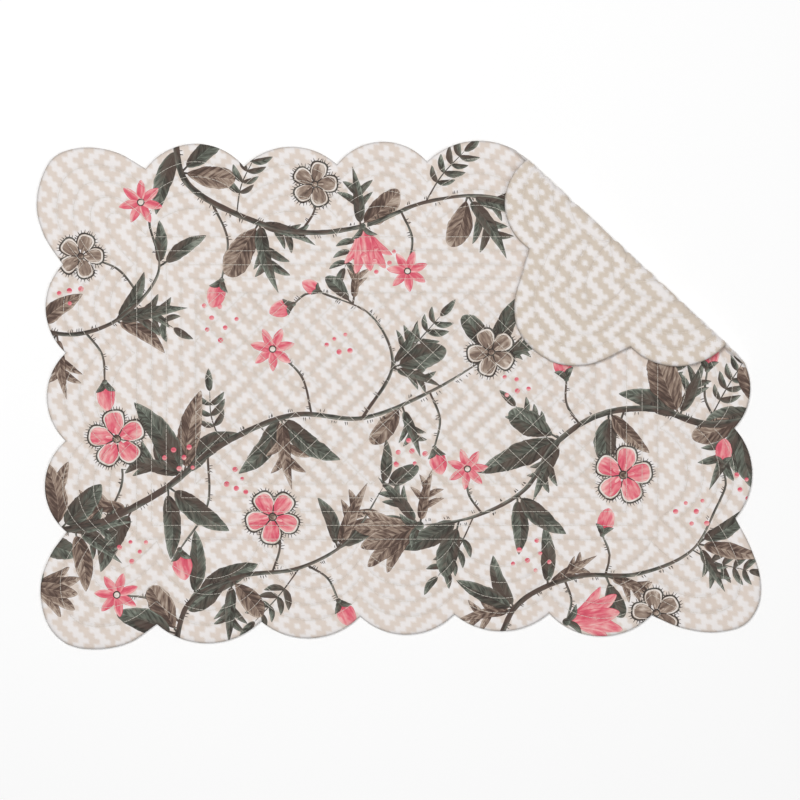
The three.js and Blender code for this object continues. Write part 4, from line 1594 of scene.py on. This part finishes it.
class PLACEMAT_OT_face(bpy.types.Operator):
    """Make the printed face and the stitches in it"""

    bl_idname = "placemat.make_face"
    bl_label = "Face"

    def execute(self, context):
        scene = context.scene
        groups = shared_groups()
        material = face_material(groups, scene.placemat_colours)
        sizes = scene.placemat_sizes
        piece, flat = make_cloth("printed_face", "face_panel", True, sizes, material)
        shows = read_all(piece.data.attributes["shows"].data, "value", bool)
        ink = Print(piece.data, flat[:, :2], shows)
        draw_print(ink, PRINT_SEED)
        ink.store()
        thread = thread_material(scene.placemat_colours)
        stitches = make_stitches("face_stitches", True, sizes, thread)
        return {"FINISHED"}


class PLACEMAT_OT_reverse(bpy.types.Operator):
    """Make the patterned reverse and the stitches in it"""

    bl_idname = "placemat.make_reverse"
    bl_label = "Reverse"

    def execute(self, context):
        scene = context.scene
        groups = shared_groups()
        material = back_material(groups, scene.placemat_colours)
        sizes = scene.placemat_sizes
        piece, _ = make_cloth("patterned_reverse", "back_panel", False, sizes, material)
        thread = thread_material(scene.placemat_colours)
        stitches = make_stitches("reverse_stitches", False, sizes, thread)
        return {"FINISHED"}


class PLACEMAT_OT_stage(bpy.types.Operator):
    """Lay the pale floor, set the soft lights and place the camera straight above"""

    bl_idname = "placemat.set_stage"
    bl_label = "Floor, lights and camera"

    def execute(self, context):
        scene = context.scene
        side = np.linspace(-FLOOR_HALF, FLOOR_HALF, 3)
        grid = np.stack(np.meshgrid(side, side, [-FLOOR_GAP]), -1).reshape(-1, 3)
        faces = [(k, k + 1, k + 4, k + 3) for k in (0, 1, 3, 4)]
        mesh = bpy.data.meshes.new("floor")
        mesh.from_pydata(grid.tolist(), [], faces)
        material, _, shader = start_material("Pale floor", MATT)
        shader.inputs["Base Color"].default_value = (*scene.placemat_colours.floor, 1)
        mesh.materials.append(material)
        floor = place_object("floor", mesh)

        for name, place, width, watts in LAMPS:
            lamp = bpy.data.lights.new(name, "AREA")
            lamp.shape = "SQUARE"
            lamp.size = width
            lamp.energy = watts
            holder = place_object(name, lamp)
            holder.location = place
            holder.rotation_euler = Vector(place).to_track_quat("Z", "Y").to_euler()
        world = bpy.data.worlds.new("Soft sky")
        world.use_nodes = True
        sky = world.node_tree.nodes["Background"].inputs
        sky["Color"].default_value = (1, 1, 1, 1)
        sky["Strength"].default_value = SKY
        scene.world = world
        scene.view_settings.view_transform = "Standard"

        camera = bpy.data.cameras.new("camera")
        camera.lens = LENS
        camera.sensor_width = SENSOR
        holder = place_object("camera", camera)
        holder.location = (*VIEW_MIDDLE, VIEW_WIDTH * LENS / SENSOR)
        scene.camera = holder
        return {"FINISHED"}


class PLACEMAT_PT_panel(bpy.types.Panel):
    """The placemat's settings and the steps that make it"""

    bl_label = "Placemat"
    bl_space_type = "VIEW_3D"
    bl_region_type = "UI"
    bl_category = "Placemat"

    def draw(self, context):
        scene = context.scene
        for group in (scene.placemat_sizes, scene.placemat_colours):
            box = self.layout.box()
            for name in type(group).__annotations__:
                box.prop(group, name)
        for operator in OPERATORS:
            self.layout.operator(operator.bl_idname)


OPERATORS = (PLACEMAT_OT_reverse, PLACEMAT_OT_face, PLACEMAT_OT_stage)
CLASSES = (PlacematSizes, PlacematColours, *OPERATORS, PLACEMAT_PT_panel)


def register():
    """Registers the classes and hangs the settings on the scene."""
    for each in CLASSES:
        bpy.utils.register_class(each)
    bpy.types.Scene.placemat_sizes = bpy.props.PointerProperty(type=PlacematSizes)
    bpy.types.Scene.placemat_colours = bpy.props.PointerProperty(type=PlacematColours)


def unregister():
    """Takes the settings off the scene and unregisters the classes."""
    del bpy.types.Scene.placemat_colours
    del bpy.types.Scene.placemat_sizes
    for each in reversed(CLASSES):
        bpy.utils.unregister_class(each)


def main():
    """Makes the whole placemat."""
    register()
    bpy.ops.placemat.make_reverse()
    bpy.ops.placemat.make_face()
    bpy.ops.placemat.set_stage()


if __name__ == "__main__":
    main()
